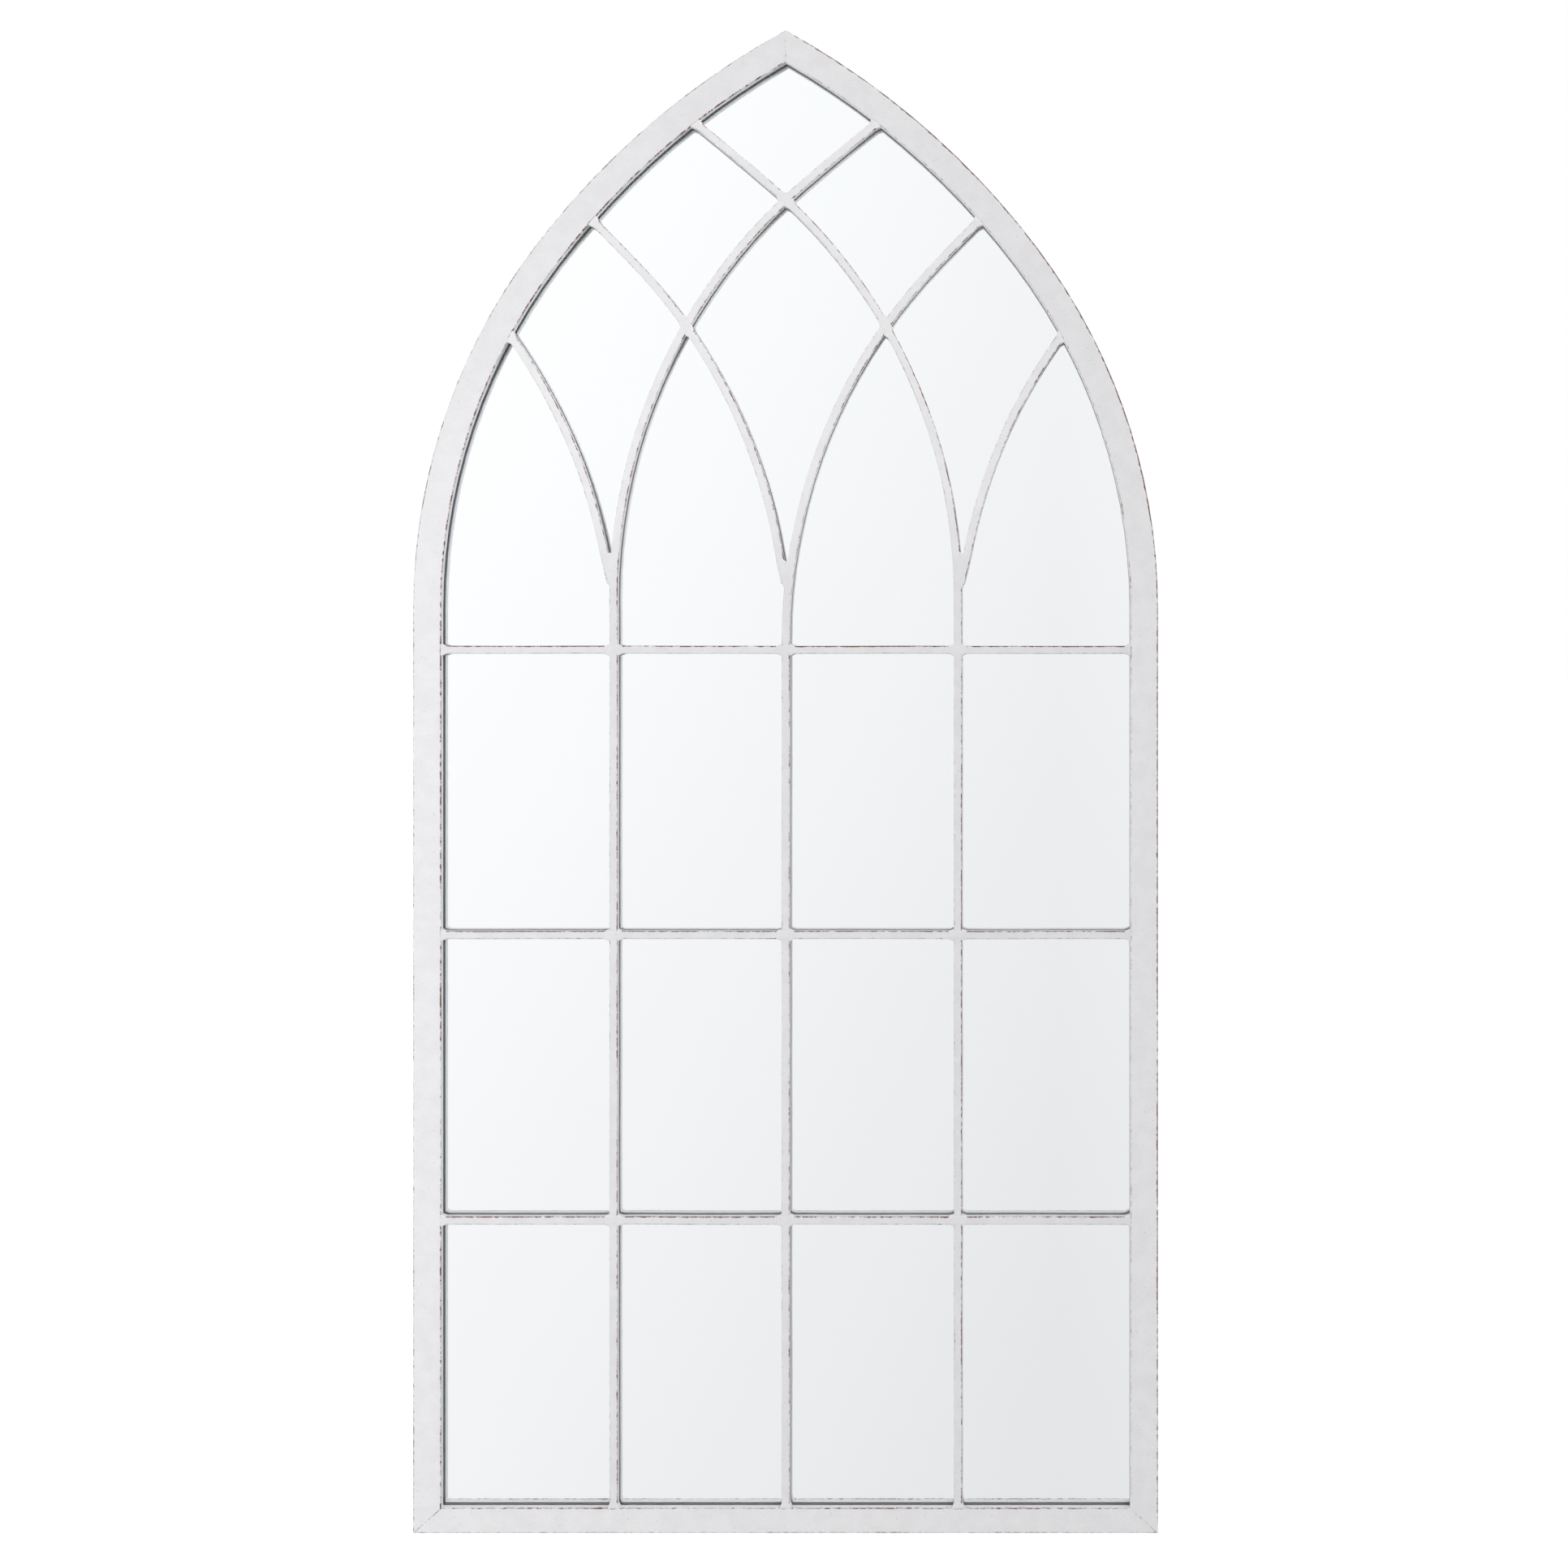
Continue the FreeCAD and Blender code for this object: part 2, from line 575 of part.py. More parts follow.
# Turn buttons: strips with round ends that swing on their screws
def turn_button(name, x, z, angle):
    """A button that points along X before it is turned about its screw."""
    body, sketch = plate(name, "0")
    round_end = "(Sizes.button_width / 2)"
    radius = number(round_end)
    tip_x = number(f"Sizes.button_reach - {round_end}")
    tail = arc(sketch, (0, 0), radius, RIGHT_ANGLE, RIGHT_ANGLE + STRAIGHT_ANGLE)
    lower = line(sketch, (0, -radius), (tip_x, -radius))
    tip = arc(sketch, (tip_x, 0), radius, -RIGHT_ANGLE, RIGHT_ANGLE)
    upper = line(sketch, (tip_x, radius), (0, radius))
    for first, second in ((tail, lower), (lower, tip), (tip, upper), (upper, tail)):
        sketch.addConstraint(Sketcher.Constraint("Tangent", first, 2, second, 1))
    sketch.addConstraint(Sketcher.Constraint("Equal", tail, tip))
    sketch.addConstraint(Sketcher.Constraint("Coincident", tail, 3, -1, 1))
    sketch.addConstraint(Sketcher.Constraint("PointOnObject", tip, 3, -1))
    dimension(sketch, "Radius", (tail,), round_end)
    dimension(sketch, "DistanceX", (-1, 1, tip, 3), f"Sizes.button_reach - {round_end}")

    pivot_radius = "Sizes.screw_radius + Sizes.pivot_clearance"
    hole = Part.Circle(FreeCAD.Vector(), FreeCAD.Vector(0, 0, 1), number(pivot_radius))
    pivot = sketch.addGeometry(hole, False)
    sketch.addConstraint(Sketcher.Constraint("Coincident", pivot, 3, -1, 1))
    dimension(sketch, "Radius", (pivot,), pivot_radius)
    grow(body, sketch, "Sizes.button_thickness")

    if angle != "0":
        turn = FreeCAD.Rotation(FreeCAD.Vector(0, 1, 0), number(angle))
        body.Placement = FreeCAD.Placement(FreeCAD.Vector(), turn)
        body.setExpression("Placement.Rotation.Angle", angle)
    place(body, x, "-Sizes.bumper_height + Sizes.button_clearance + Sizes.button_thickness", z)
    return body


LEVEL_SHARES = ("Sizes.low_button_share", "Sizes.high_button_share")
button_spots = {LEFT: [], RIGHT: []}
for side in (LEFT, RIGHT):
    for share in LEVEL_SHARES:
        spot = on_stile(side, f"Sizes.spring_height * {share}")
        button_spots[side].append((*spot, "0" if side == LEFT else f"{STRAIGHT_ANGLE}"))
    for spot, slope in (
            (on_arch(side, "Sizes.arch_button_angle"), "Sizes.arch_button_angle"),
            (on_crown(side, "Sizes.crown_button_angle"), "Sizes.blend_angle + Sizes.crown_button_angle")):
        button_spots[side].append((*spot, slope if side == LEFT else f"{STRAIGHT_ANGLE} - ({slope})"))
rail_spots = [
    (f"{side} * {HALF_WIDTH} * Sizes.rail_button_share", LAND_MIDDLE, f"-{RIGHT_ANGLE}")
    for side in (LEFT, RIGHT)]

BUTTON_SEAT = "(2 * Sizes.button_clearance + Sizes.button_thickness)"
button_screws = []
side_holes = {LEFT: [], RIGHT: []}
rail_holes = []
numbered_spots = [(spot, side_holes[LEFT]) for spot in button_spots[LEFT]]
numbered_spots += [(spot, side_holes[RIGHT]) for spot in button_spots[RIGHT]]
numbered_spots += [(spot, rail_holes) for spot in rail_spots]
for count, ((x, z, angle), holes) in enumerate(numbered_spots, start=1):
    node(turn_button(f"turn_button_{count:02d}", x, z, angle))
    button_screws.append(screw(f"button_screw_{count:02d}", x, z, BUTTON_SEAT))
    holes.append(screw_hole(f"button_hole_{count:02d}", x, z))
node(group("turn_button_screws", button_screws))


# D-ring hangers: a strap with a rolled loop, and a ring that hangs from it
RING_RADIUS = "(Sizes.ring_wire / 2)"
RING_AXIS_HEIGHT = f"(Sizes.strap_thickness + Sizes.ring_seat_gap + {RING_RADIUS})"
RING_AXIS_Y = f"(-Sizes.bumper_height + {RING_AXIS_HEIGHT})"
LOOP_BORE = f"({RING_RADIUS} + Sizes.ring_play)"
BOW_RADIUS = "((Sizes.ring_inner_width + Sizes.ring_wire) / 2)"
STRAP_SCREWS = {"near": "Sizes.near_screw_distance", "far": "Sizes.far_screw_distance"}


def hanger_strap(name, x):
    flat = box(
        name + "_flat",
        (f"{x} - Sizes.strap_width / 2", "-Sizes.bumper_height", f"{HANGER_LEVEL} - Sizes.strap_length"),
        ("Sizes.strap_width", "Sizes.strap_thickness", "Sizes.strap_length"))
    middle = (x, RING_AXIS_Y, HANGER_LEVEL)
    loop = cross_rod(name + "_loop", f"{LOOP_BORE} + Sizes.strap_thickness", middle, "Sizes.strap_width")
    bore = cross_rod(name + "_bore", LOOP_BORE, middle, "(Sizes.strap_width + 2 * Sizes.overrun)")
    holes = [
        peg(f"{name}_{end}_hole", "Sizes.screw_radius + Sizes.strap_hole_clearance",
            (x, "-Sizes.bumper_height - Sizes.overrun", f"{HANGER_LEVEL} - {distance}"),
            "Sizes.strap_thickness + 2 * Sizes.overrun")
        for end, distance in STRAP_SCREWS.items()]
    blank = fuse(name + "_blank", [flat, loop])
    return cut(name, blank, group(name + "_openings", [bore, *holes]))


def hanger_ring(name, x):
    """A closed wire D: a leg in the strap's loop, two sides and a half-round bow."""
    leg = cross_rod(name + "_leg", RING_RADIUS, (x, RING_AXIS_Y, HANGER_LEVEL), f"(2 * {BOW_RADIUS})")
    bow_level = f"({HANGER_LEVEL} - Sizes.ring_length + {BOW_RADIUS})"
    pieces = [leg]
    for side, side_name in SIDE_NAMES.items():
        side_x = f"{x} + {side} * {BOW_RADIUS}"
        corner = doc.addObject("Part::Sphere", f"{name}_{side_name}_corner")
        corner.setExpression("Radius", RING_RADIUS)
        place(corner, side_x, RING_AXIS_Y, HANGER_LEVEL)
        upright = doc.addObject("Part::Cylinder", f"{name}_{side_name}_side")
        bind(upright, {"Radius": RING_RADIUS, "Height": f"Sizes.ring_length - {BOW_RADIUS}"})
        place(upright, side_x, RING_AXIS_Y, bow_level)
        pieces += [corner, upright]
    bow = doc.addObject("Part::Torus", name + "_bow")
    upright_to_wall(bow)
    bind(bow, {"Radius1": BOW_RADIUS, "Radius2": RING_RADIUS})
    bow.Angle3 = STRAIGHT_ANGLE
    place(bow, x, RING_AXIS_Y, bow_level)
    return fuse(name, [*pieces, bow])


hanger_screws = []
for side, side_name in SIDE_NAMES.items():
    x, _ = on_stile(side, HANGER_LEVEL)
    node(hanger_strap(side_name + "_hanger_strap", x))
    node(hanger_ring(side_name + "_hanger_ring", x))
    for end, distance in STRAP_SCREWS.items():
        level = f"{HANGER_LEVEL} - {distance}"
        name = f"{side_name}_{end}_hanger"
        hanger_screws.append(screw(name + "_screw", x, level, "Sizes.strap_thickness"))
        side_holes[side].append(screw_hole(name + "_hole", x, level))
node(group("hanger_screws", hanger_screws))


# Rear bars, tapped for the screws
rear_sides, rear_bottom = mitred_ring(
    "rear_blank", "0", "Sizes.rear_bar_width", "Sizes.rear_bar_width", "Sizes.bumper_height", REBATE)
for side, side_name in SIDE_NAMES.items():
    node(cut(side_name + "_rear_bar", rear_sides[side], group(side_name + "_rear_holes", side_holes[side])))
node(cut("bottom_rear_bar", rear_bottom, group("bottom_rear_holes", rail_holes)))


# Bumpers on the backs of the rear bars, with their faces on the wall
bumper_spots = []
for side in (LEFT, RIGHT):
    bumper_spots.append((f"{side} * ({HALF_WIDTH} - Sizes.bumper_inset)", LAND_MIDDLE))
    bumper_spots.append(on_crown(side, "Sizes.crown_bumper_angle"))
node(group("wall_bumpers", [
    taper(f"bumper_{count}", "Sizes.bumper_base_radius", "Sizes.bumper_face_radius",
          (x, "-Sizes.bumper_height", z), "Sizes.bumper_height")
    for count, (x, z) in enumerate(bumper_spots, start=1)]))

doc.recompute()

GROUP_COUNTS = {
    "turn_button_screws": len(button_screws),
    "hanger_screws": len(hanger_screws),
    "wall_bumpers": len(bumper_spots),
}
for item in doc.Objects:
    if "Invalid" in item.State or "Error" in item.State:
        raise RuntimeError(f"{item.Name} did not recompute: {item.State}")
for name, piece in nodes.items():
    if piece.Shape.isNull() or not piece.Shape.isValid():
        raise RuntimeError(f"{name} has no valid shape")
    solids = len(piece.Shape.Solids)
    if solids != GROUP_COUNTS.get(name, 1):
        raise RuntimeError(f"{name} has {solids} solids")

os.makedirs("parts", exist_ok=True)
for name, piece in nodes.items():
    piece.Shape.exportStep(f"parts/{name}.step")
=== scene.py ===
# Window mirror: a painted steel window frame in front of a sheet of mirror glass.
# Metres. X runs to the right, Y from the front to the wall, Z up.

import math

import bmesh
import bpy
from mathutils import Matrix, Vector, noise
from mathutils.bvhtree import BVHTree
from mathutils.kdtree import KDTree


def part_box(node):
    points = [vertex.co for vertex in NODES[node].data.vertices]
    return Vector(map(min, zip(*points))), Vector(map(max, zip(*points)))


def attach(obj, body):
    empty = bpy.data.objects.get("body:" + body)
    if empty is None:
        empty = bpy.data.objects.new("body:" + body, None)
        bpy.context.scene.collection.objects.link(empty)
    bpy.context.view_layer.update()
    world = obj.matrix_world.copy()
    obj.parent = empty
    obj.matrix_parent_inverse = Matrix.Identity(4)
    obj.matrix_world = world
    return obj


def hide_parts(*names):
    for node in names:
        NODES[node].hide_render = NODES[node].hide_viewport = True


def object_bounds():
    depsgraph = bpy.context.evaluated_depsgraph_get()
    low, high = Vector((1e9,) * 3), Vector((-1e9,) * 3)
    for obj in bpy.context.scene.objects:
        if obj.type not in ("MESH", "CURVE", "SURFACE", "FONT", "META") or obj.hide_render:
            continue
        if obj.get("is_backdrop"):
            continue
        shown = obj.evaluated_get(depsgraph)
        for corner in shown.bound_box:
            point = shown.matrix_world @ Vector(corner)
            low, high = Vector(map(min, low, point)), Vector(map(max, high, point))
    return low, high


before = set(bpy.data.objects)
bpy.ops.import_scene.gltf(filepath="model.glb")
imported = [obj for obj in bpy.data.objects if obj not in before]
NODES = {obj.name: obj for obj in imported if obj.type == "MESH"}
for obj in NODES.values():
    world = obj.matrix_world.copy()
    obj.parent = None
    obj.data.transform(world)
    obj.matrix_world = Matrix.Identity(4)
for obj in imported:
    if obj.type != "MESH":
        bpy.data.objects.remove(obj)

MM = 0.001
CAD_LOW, CAD_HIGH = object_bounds()

# Names of the painted pieces

FRAME_BARS = ["left_frame_bar", "right_frame_bar", "bottom_frame_bar"]
REAR_BARS = ["left_rear_bar", "right_rear_bar", "bottom_rear_bar"]
UPRIGHTS = ["left_glazing_bar", "middle_glazing_bar", "right_glazing_bar"]
TRACERY = [
    "right_tracery_middle",
    "right_tracery_top",
    "left_side_branch",
    "right_side_branch",
    "middle_branch_lower",
    "middle_branch_upper",
]
CROSS_BARS = [f"cross_bar_row{row}_bay{bay}" for row in (1, 2, 3) for bay in (1, 2, 3, 4)]
SLIM_BARS = UPRIGHTS + TRACERY + CROSS_BARS
PAINTED = FRAME_BARS + REAR_BARS + SLIM_BARS

# Edges and surfaces of the painted pieces

FRAME_EDGE = 0.8 * MM
BAR_EDGE = 0.7 * MM
EDGE_SEGMENTS = 3
ROUND_PROFILE = 0.5
SEAM_WEAR = 0.96
FRONT_EDGE_DEPTH = 2 * MM
JOINT_WEAR = 0.2
JOINT_WEAR_REACH = 18 * MM
SHORTEST_EDGE = 1.5 * MM
CUT_STEP = 20 * MM
SHARP_ANGLE = math.radians(30)
SMOOTH_ANGLE = math.radians(40)
FLAT_ANGLE = math.radians(0.5)
SAME_POINT = 0.002 * MM
JOINT_GAP = 0.6 * MM
OPPOSITE_SHARE = -0.9
FACING_SHARE = 0.5
WANDER = 0.3 * MM
WANDER_PER_METRE = 14
FLAT, ROUNDED, JOINT = 0, 1, 2
X_AXIS, Z_AXIS = 0, 2

# Welds

WELD_IN = 5.5 * MM
WELD_THROUGH = 4.0 * MM
WELD_AT_FRAME = 1.2 * MM
WELD_SWELL = 0.25 * MM
FILLET_FLARE = 2.2 * MM
FILLET_LENGTH = 4.5 * MM
FILLET_THROUGH = 0.8 * MM
LONG_JOINT = 16 * MM
LONG_JOINT_REACH = 2.6 * MM
WELD_VOXEL = 0.8 * MM
WELD_FLOW_SHARE = 0.5
WELD_FLOW_ROUNDS = 5
WELD_LUMP = 0.25 * MM
WELD_LUMPS_PER_METRE = 260
WELD_WEAR = 0.42
BRANCH_HOSTS = {
    "left_side_branch": "left_glazing_bar",
    "middle_branch_lower": "middle_glazing_bar",
    "right_side_branch": "right_glazing_bar",
}
CROTCH_GAP = 3.2 * MM
CROTCH_STEP = 0.5 * MM
WEB_INSET = 1.0 * MM
WEB_SWELL = 0.3 * MM
HEEL_PULL = 2.4 * MM
HEEL_PULL_REACH = 35 * MM
HEEL_DROP = 5 * MM


def outline_of(node):
    """A clean copy of a node's shape, with one face for each flat stretch."""
    form = bmesh.new()
    form.from_mesh(NODES[node].data)
    bmesh.ops.remove_doubles(form, verts=form.verts, dist=SAME_POINT)
    bmesh.ops.dissolve_limit(form, angle_limit=FLAT_ANGLE, verts=form.verts, edges=form.edges)
    bmesh.ops.recalc_face_normals(form, faces=form.faces)
    return form


def surface_of(nodes):
    """The surfaces of several nodes, to measure how near a point is to them."""
    corners = []
    faces = []
    for name in nodes:
        mesh = NODES[name].data
        start = len(corners)
        corners.extend(v.co.copy() for v in mesh.vertices)
        faces.extend([start + i for i in p.vertices] for p in mesh.polygons)
    return BVHTree.FromPolygons(corners, faces)


def joint_faces(form, neighbours):
    """The faces of a piece that lie flat against its neighbours, corners and all."""
    found = []
    for face in form.faces:
        place, normal = neighbours.find_nearest(face.calc_center_median(), JOINT_GAP)[:2]
        if place is None or normal.dot(face.normal) > OPPOSITE_SHARE:
            continue
        if all(neighbours.find_nearest(v.co, JOINT_GAP)[0] is not None for v in face.verts):
            found.append(face)
    return found


def round_edges(form, width, segments, kept=(), shortest=0):
    """Round a piece's sharp edges, apart from short ones and those of the kept faces."""
    sharp = [
        edge
        for edge in form.edges
        if len(edge.link_faces) == 2
        and edge.calc_face_angle(0) > SHARP_ANGLE
        and edge.calc_length() > shortest
        and not any(face in kept for face in edge.link_faces)
    ]
    made = bmesh.ops.bevel(
        form,
        geom=sharp,
        offset=width,
        offset_type="OFFSET",
        segments=segments,
        profile=ROUND_PROFILE,
        affect="EDGES",
        clamp_overlap=True,
    )
    return made["faces"]


def cut_across(form, step):
    """Cut a long piece at even steps, so that its edges can wander and wear unevenly."""
    for axis in (X_AXIS, Z_AXIS):
        levels = [v.co[axis] for v in form.verts]
        direction = Vector((0, 0, 0))
        direction[axis] = 1
        for number in range(math.floor(min(levels) / step) + 1, math.ceil(max(levels) / step)):
            bmesh.ops.bisect_plane(
                form,
                geom=form.verts[:] + form.edges[:] + form.faces[:],
                dist=SAME_POINT,
                plane_co=direction * (number * step),
                plane_no=direction,
            )


def keep_within(form, node):
    """Hold a shape inside the box of the node that it stands for."""
    low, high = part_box(node)
    for v in form.verts:
        for axis in range(3):
            v.co[axis] = min(max(v.co[axis], low[axis]), high[axis])


def wander(form, reach):
    """Move points a little in the plane of the window, as hand-bent bars do."""
    for v in form.verts:
        drift = noise.noise_vector(v.co * WANDER_PER_METRE)
        v.co += Vector((drift.x, 0, drift.z)) * reach


def object_of(form, name):
    """Turn a shape into an object in the scene."""
    mesh = bpy.data.meshes.new(name)
    form.to_mesh(mesh)
    form.free()
    made = bpy.data.objects.new(name, mesh)
    bpy.context.scene.collection.objects.link(made)
    return made


def taken_mesh(*made):
    """The first object's mesh as its modifiers leave it; the objects themselves are removed."""
    bpy.context.view_layer.update()
    seen = made[0].evaluated_get(bpy.context.evaluated_depsgraph_get())
    mesh = bpy.data.meshes.new_from_object(seen)
    for spare in made:
        spare_mesh = spare.data
        bpy.data.objects.remove(spare)
        bpy.data.meshes.remove(spare_mesh)
    return mesh


def piece_from(form, name, material, body, nodes=(), smooth=True):
    """Turn a shape into an object that rides on a body and stands for its nodes."""
    piece = object_of(form, name)
    mesh = piece.data
    bent_normals = mesh.attributes.get("custom_normal")
    if bent_normals:
        mesh.attributes.remove(bent_normals)
    materials = material if isinstance(material, list) else [material]
    for each in materials:
        mesh.materials.append(each)
    for polygon in mesh.polygons:
        polygon.use_smooth = smooth
    mesh.set_sharp_from_angle(angle=SMOOTH_ANGLE)
    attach(piece, body)
    if nodes:
        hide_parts(*nodes)


# Tones and textures, the textures in waves per metre

FRAME_TONES = (0.81, 0.805, 0.82, 1), (0.85, 0.845, 0.86, 1)
BAR_TONES = (0.765, 0.76, 0.775, 1), (0.81, 0.805, 0.82, 1)
# Lighter tones for the slim bars near the top: painted light, a wash of light on the upper bars.
TRACERY_PAINTED_LIGHT_TONES = (0.85, 0.845, 0.86, 1), (0.89, 0.885, 0.90, 1)
GRAIN_TONE = (0.62, 0.60, 0.61, 1)
PRIMER_TONE = (0.46, 0.35, 0.345, 1)
STEEL_TONES = (0.085, 0.075, 0.072, 1), (0.17, 0.085, 0.075, 1)
SPECK_TONE = (0.30, 0.22, 0.215, 1)
# Painted shade on the faces towards the glass, seen in the mirror: dark and cool on the frame, lighter on
# the slim bars as painted light where too little light reaches their gap.
GLASS_SIDE_SHADE_TONES = (0.50, 0.585, 0.60, 1), (0.60, 0.68, 0.69, 1)
BAR_GLASS_SIDE_SHADE_TONES = (0.78, 0.83, 0.835, 1), (0.84, 0.88, 0.885, 1)
GLASS_TONES = (0.982, 0.992, 0.994, 1), (0.988, 0.996, 0.997, 1)
SILVER_TONES = (0.985, 0.988, 0.99, 1), (0.994, 0.995, 0.996, 1)
# Painted light: the tape is made grey to brighten the shaded gap under the bars.
FOAM_LIGHTENED_TONES = (0.52, 0.52, 0.50, 1), (0.66, 0.66, 0.64, 1)
BOARD_TONES = (0.172, 0.100, 0.052, 1), (0.212, 0.127, 0.067, 1)
BOARD_THREAD_TONE = (0.34, 0.225, 0.13, 1)
BOARD_PIT_TONE = (0.09, 0.048, 0.025, 1)
ZINC_TONES = (0.50, 0.51, 0.53, 1), (0.66, 0.665, 0.66, 1)
RUBBER_TONES = (0.02, 0.02, 0.021, 1), (0.045, 0.044, 0.043, 1)

PAINT_GRAIN = 480
PAINT_MOTTLE = 70
WEAR_RUNS = 15
WEAR_DASHES = 170
WEAR_CHIPS = 620
RUNS_SHARE = 1.3
DASHES_SHARE = 1.9
CHIPS_SHARE = 1.3
PRIMER_WEAR = 0.60, 0.88
BARE_WEAR = 0.98, 1.12
PRIMER_SHARE = 0.6
BARE_POLISH = 0.1
SPECK_CELLS = 260.0
SPECK_SIZE_SHARE = 0.12
SPECK_SHARE = 0.6
GRAIN_SHARE = 0.12
# Heights over which the slim bars' paint turns lighter: painted light.
PAINTED_LIGHT_LEVELS = 850 * MM, 980 * MM
PAINT_GLOSS = 0.35
MOTTLE_RELIEF_SHARE = 0.35
BARE_RELIEF_SHARE = 0.35
BOARD_FIBRES_UPRIGHT = (900.0, 900.0, 160.0)
BOARD_FIBRES_LEVEL = (150.0, 900.0, 950.0)
ZINC_MARKS = (600.0, 600.0, 6000.0)
ZINC_MARK_SHARE = 0.08
GLASS_BENDING = 1.52
NOISE_SPAN = 0.3, 0.7

PAINT_RELIEF = 0.35 * MM
GLASS_SIDE_SHADE_RELIEF = 0.1 * MM
FOAM_RELIEF = 0.2 * MM
BOARD_RELIEF = 0.15 * MM
ZINC_RELIEF = 0.03 * MM
RUBBER_RELIEF = 0.06 * MM


class Nodes:
    """A short way to build one material's or world's node tree."""

    def __init__(self, tree):
        self.tree = tree

    def add(self, kind, settings=None, inputs=None):
        made = self.tree.nodes.new(kind)
        for key, value in (settings or {}).items():
            setattr(made, key, value)
        for key, value in (inputs or {}).items():
            self.set(made.inputs[key], value)
        return made

    def set(self, socket, value):
        if isinstance(value, bpy.types.NodeSocket):
            self.tree.links.new(value, socket)
        else:
            socket.default_value = value

    def noise(self, place, scale, detail=3.0, roughness=0.55):
        inputs = {"Vector": place, "Scale": scale, "Detail": detail, "Roughness": roughness}
        return self.add("ShaderNodeTexNoise", None, inputs).outputs["Fac"]

    def stretched_noise(self, place, scales, detail):
        stretched = self.add("ShaderNodeMapping", None, {"Vector": place, "Scale": scales})
        return self.noise(stretched.outputs[0], 1.0, detail)

    def maths(self, operation, first, second=0.0):
        made = self.add("ShaderNodeMath", {"operation": operation}, {0: first, 1: second})
        return made.outputs[0]

    def centred(self, value, share):
        """A noise moved to lie about zero, and scaled."""
        return self.maths("MULTIPLY", self.maths("SUBTRACT", value, 0.5), share)

    def ramp(self, value, low, high, start=0.0, end=1.0):
        made = self.add(
            "ShaderNodeMapRange",
            {"interpolation_type": "SMOOTHSTEP"},
            {"Value": value, "From Min": low, "From Max": high, "To Min": start, "To Max": end},
        )
        return made.outputs["Result"]

    def spread(self, value, start=0.0, end=1.0):
        """A noise's usual span, widened to run from start to end."""
        return self.ramp(value, *NOISE_SPAN, start, end)

    def mix(self, share, first, second):
        made = self.add("ShaderNodeMix", {"data_type": "RGBA"}, {0: share, 6: first, 7: second})
        return made.outputs[2]

    def bump(self, height, distance, strength=1.0):
        inputs = {"Height": height, "Distance": distance, "Strength": strength}
        return self.add("ShaderNodeBump", None, inputs).outputs["Normal"]

    def place(self):
        return self.add("ShaderNodeTexCoord").outputs["Object"]


def new_material(name):
    """A material with its node helper and its main shader."""
    material = bpy.data.materials.new(name)
    material.use_nodes = True
    nodes = Nodes(material.node_tree)
    return material, nodes, material.node_tree.nodes["Principled BSDF"]


def painted_steel(name, tones, lit_top_tones):
    """Off-white mottled paint, lighter towards the top as painted light, rubbed through to steel at its
    edges.
    """
    material, n, shader = new_material(name)
    place = n.place()
    level = n.add("ShaderNodeSeparateXYZ", None, {"Vector": place}).outputs["Z"]
    grain = n.noise(place, PAINT_GRAIN, detail=2.0, roughness=0.5)
    mottle = n.noise(place, PAINT_MOTTLE, detail=2.0)
    runs = n.noise(place, WEAR_RUNS, detail=2.0)
    dashes = n.noise(place, WEAR_DASHES, detail=2.0)
    chips = n.noise(place, WEAR_CHIPS, detail=2.0, roughness=0.6)
    wear = n.add("ShaderNodeAttribute", {"attribute_name": "wear"}).outputs["Fac"]

    uneven = n.maths("ADD", n.centred(runs, RUNS_SHARE), n.centred(dashes, DASHES_SHARE))
    uneven = n.maths("ADD", uneven, n.centred(chips, CHIPS_SHARE))
    worn = n.maths("MULTIPLY", wear, n.maths("ADD", uneven, 1.0))
    primer = n.ramp(worn, *PRIMER_WEAR)
    bare = n.ramp(worn, *BARE_WEAR)

    cells = n.add("ShaderNodeTexVoronoi", None, {"Vector": place, "Scale": SPECK_CELLS})
    chosen = n.add("ShaderNodeSeparateColor", None, {"Color": cells.outputs["Color"]})
    speck_size = n.ramp(chosen.outputs["Red"], low=0.4, high=1.0, end=SPECK_SIZE_SHARE)
    speck = n.ramp(n.maths("SUBTRACT", speck_size, cells.outputs["Distance"]), low=0.0, high=0.02)

    lighter = n.spread(mottle)
    # Painted light: towards the top the paint blends into the lighter tones.
    paint = n.mix(n.ramp(level, *PAINTED_LIGHT_LEVELS), n.mix(lighter, *tones), n.mix(lighter, *lit_top_tones))
    paint = n.mix(n.ramp(grain, low=0.35, high=0.75, end=GRAIN_SHARE), paint, GRAIN_TONE)
    steel = n.mix(n.ramp(runs, low=0.42, high=0.58), *STEEL_TONES)
    colour = n.mix(n.maths("MULTIPLY", primer, PRIMER_SHARE), paint, PRIMER_TONE)
    colour = n.mix(bare, colour, steel)
    colour = n.mix(n.maths("MULTIPLY", speck, SPECK_SHARE), colour, SPECK_TONE)
    n.set(shader.inputs["Base Color"], colour)

    roughness = n.spread(mottle, start=0.50, end=0.62)
    roughness = n.maths("SUBTRACT", roughness, n.maths("MULTIPLY", bare, BARE_POLISH))
    n.set(shader.inputs["Roughness"], roughness)
    shader.inputs["Specular IOR Level"].default_value = PAINT_GLOSS
    raised = n.maths("MULTIPLY", mottle, MOTTLE_RELIEF_SHARE)
    height = n.maths("SUBTRACT", raised, n.maths("MULTIPLY", bare, BARE_RELIEF_SHARE))
    n.set(shader.inputs["Normal"], n.bump(height, PAINT_RELIEF, strength=0.6))
    return material


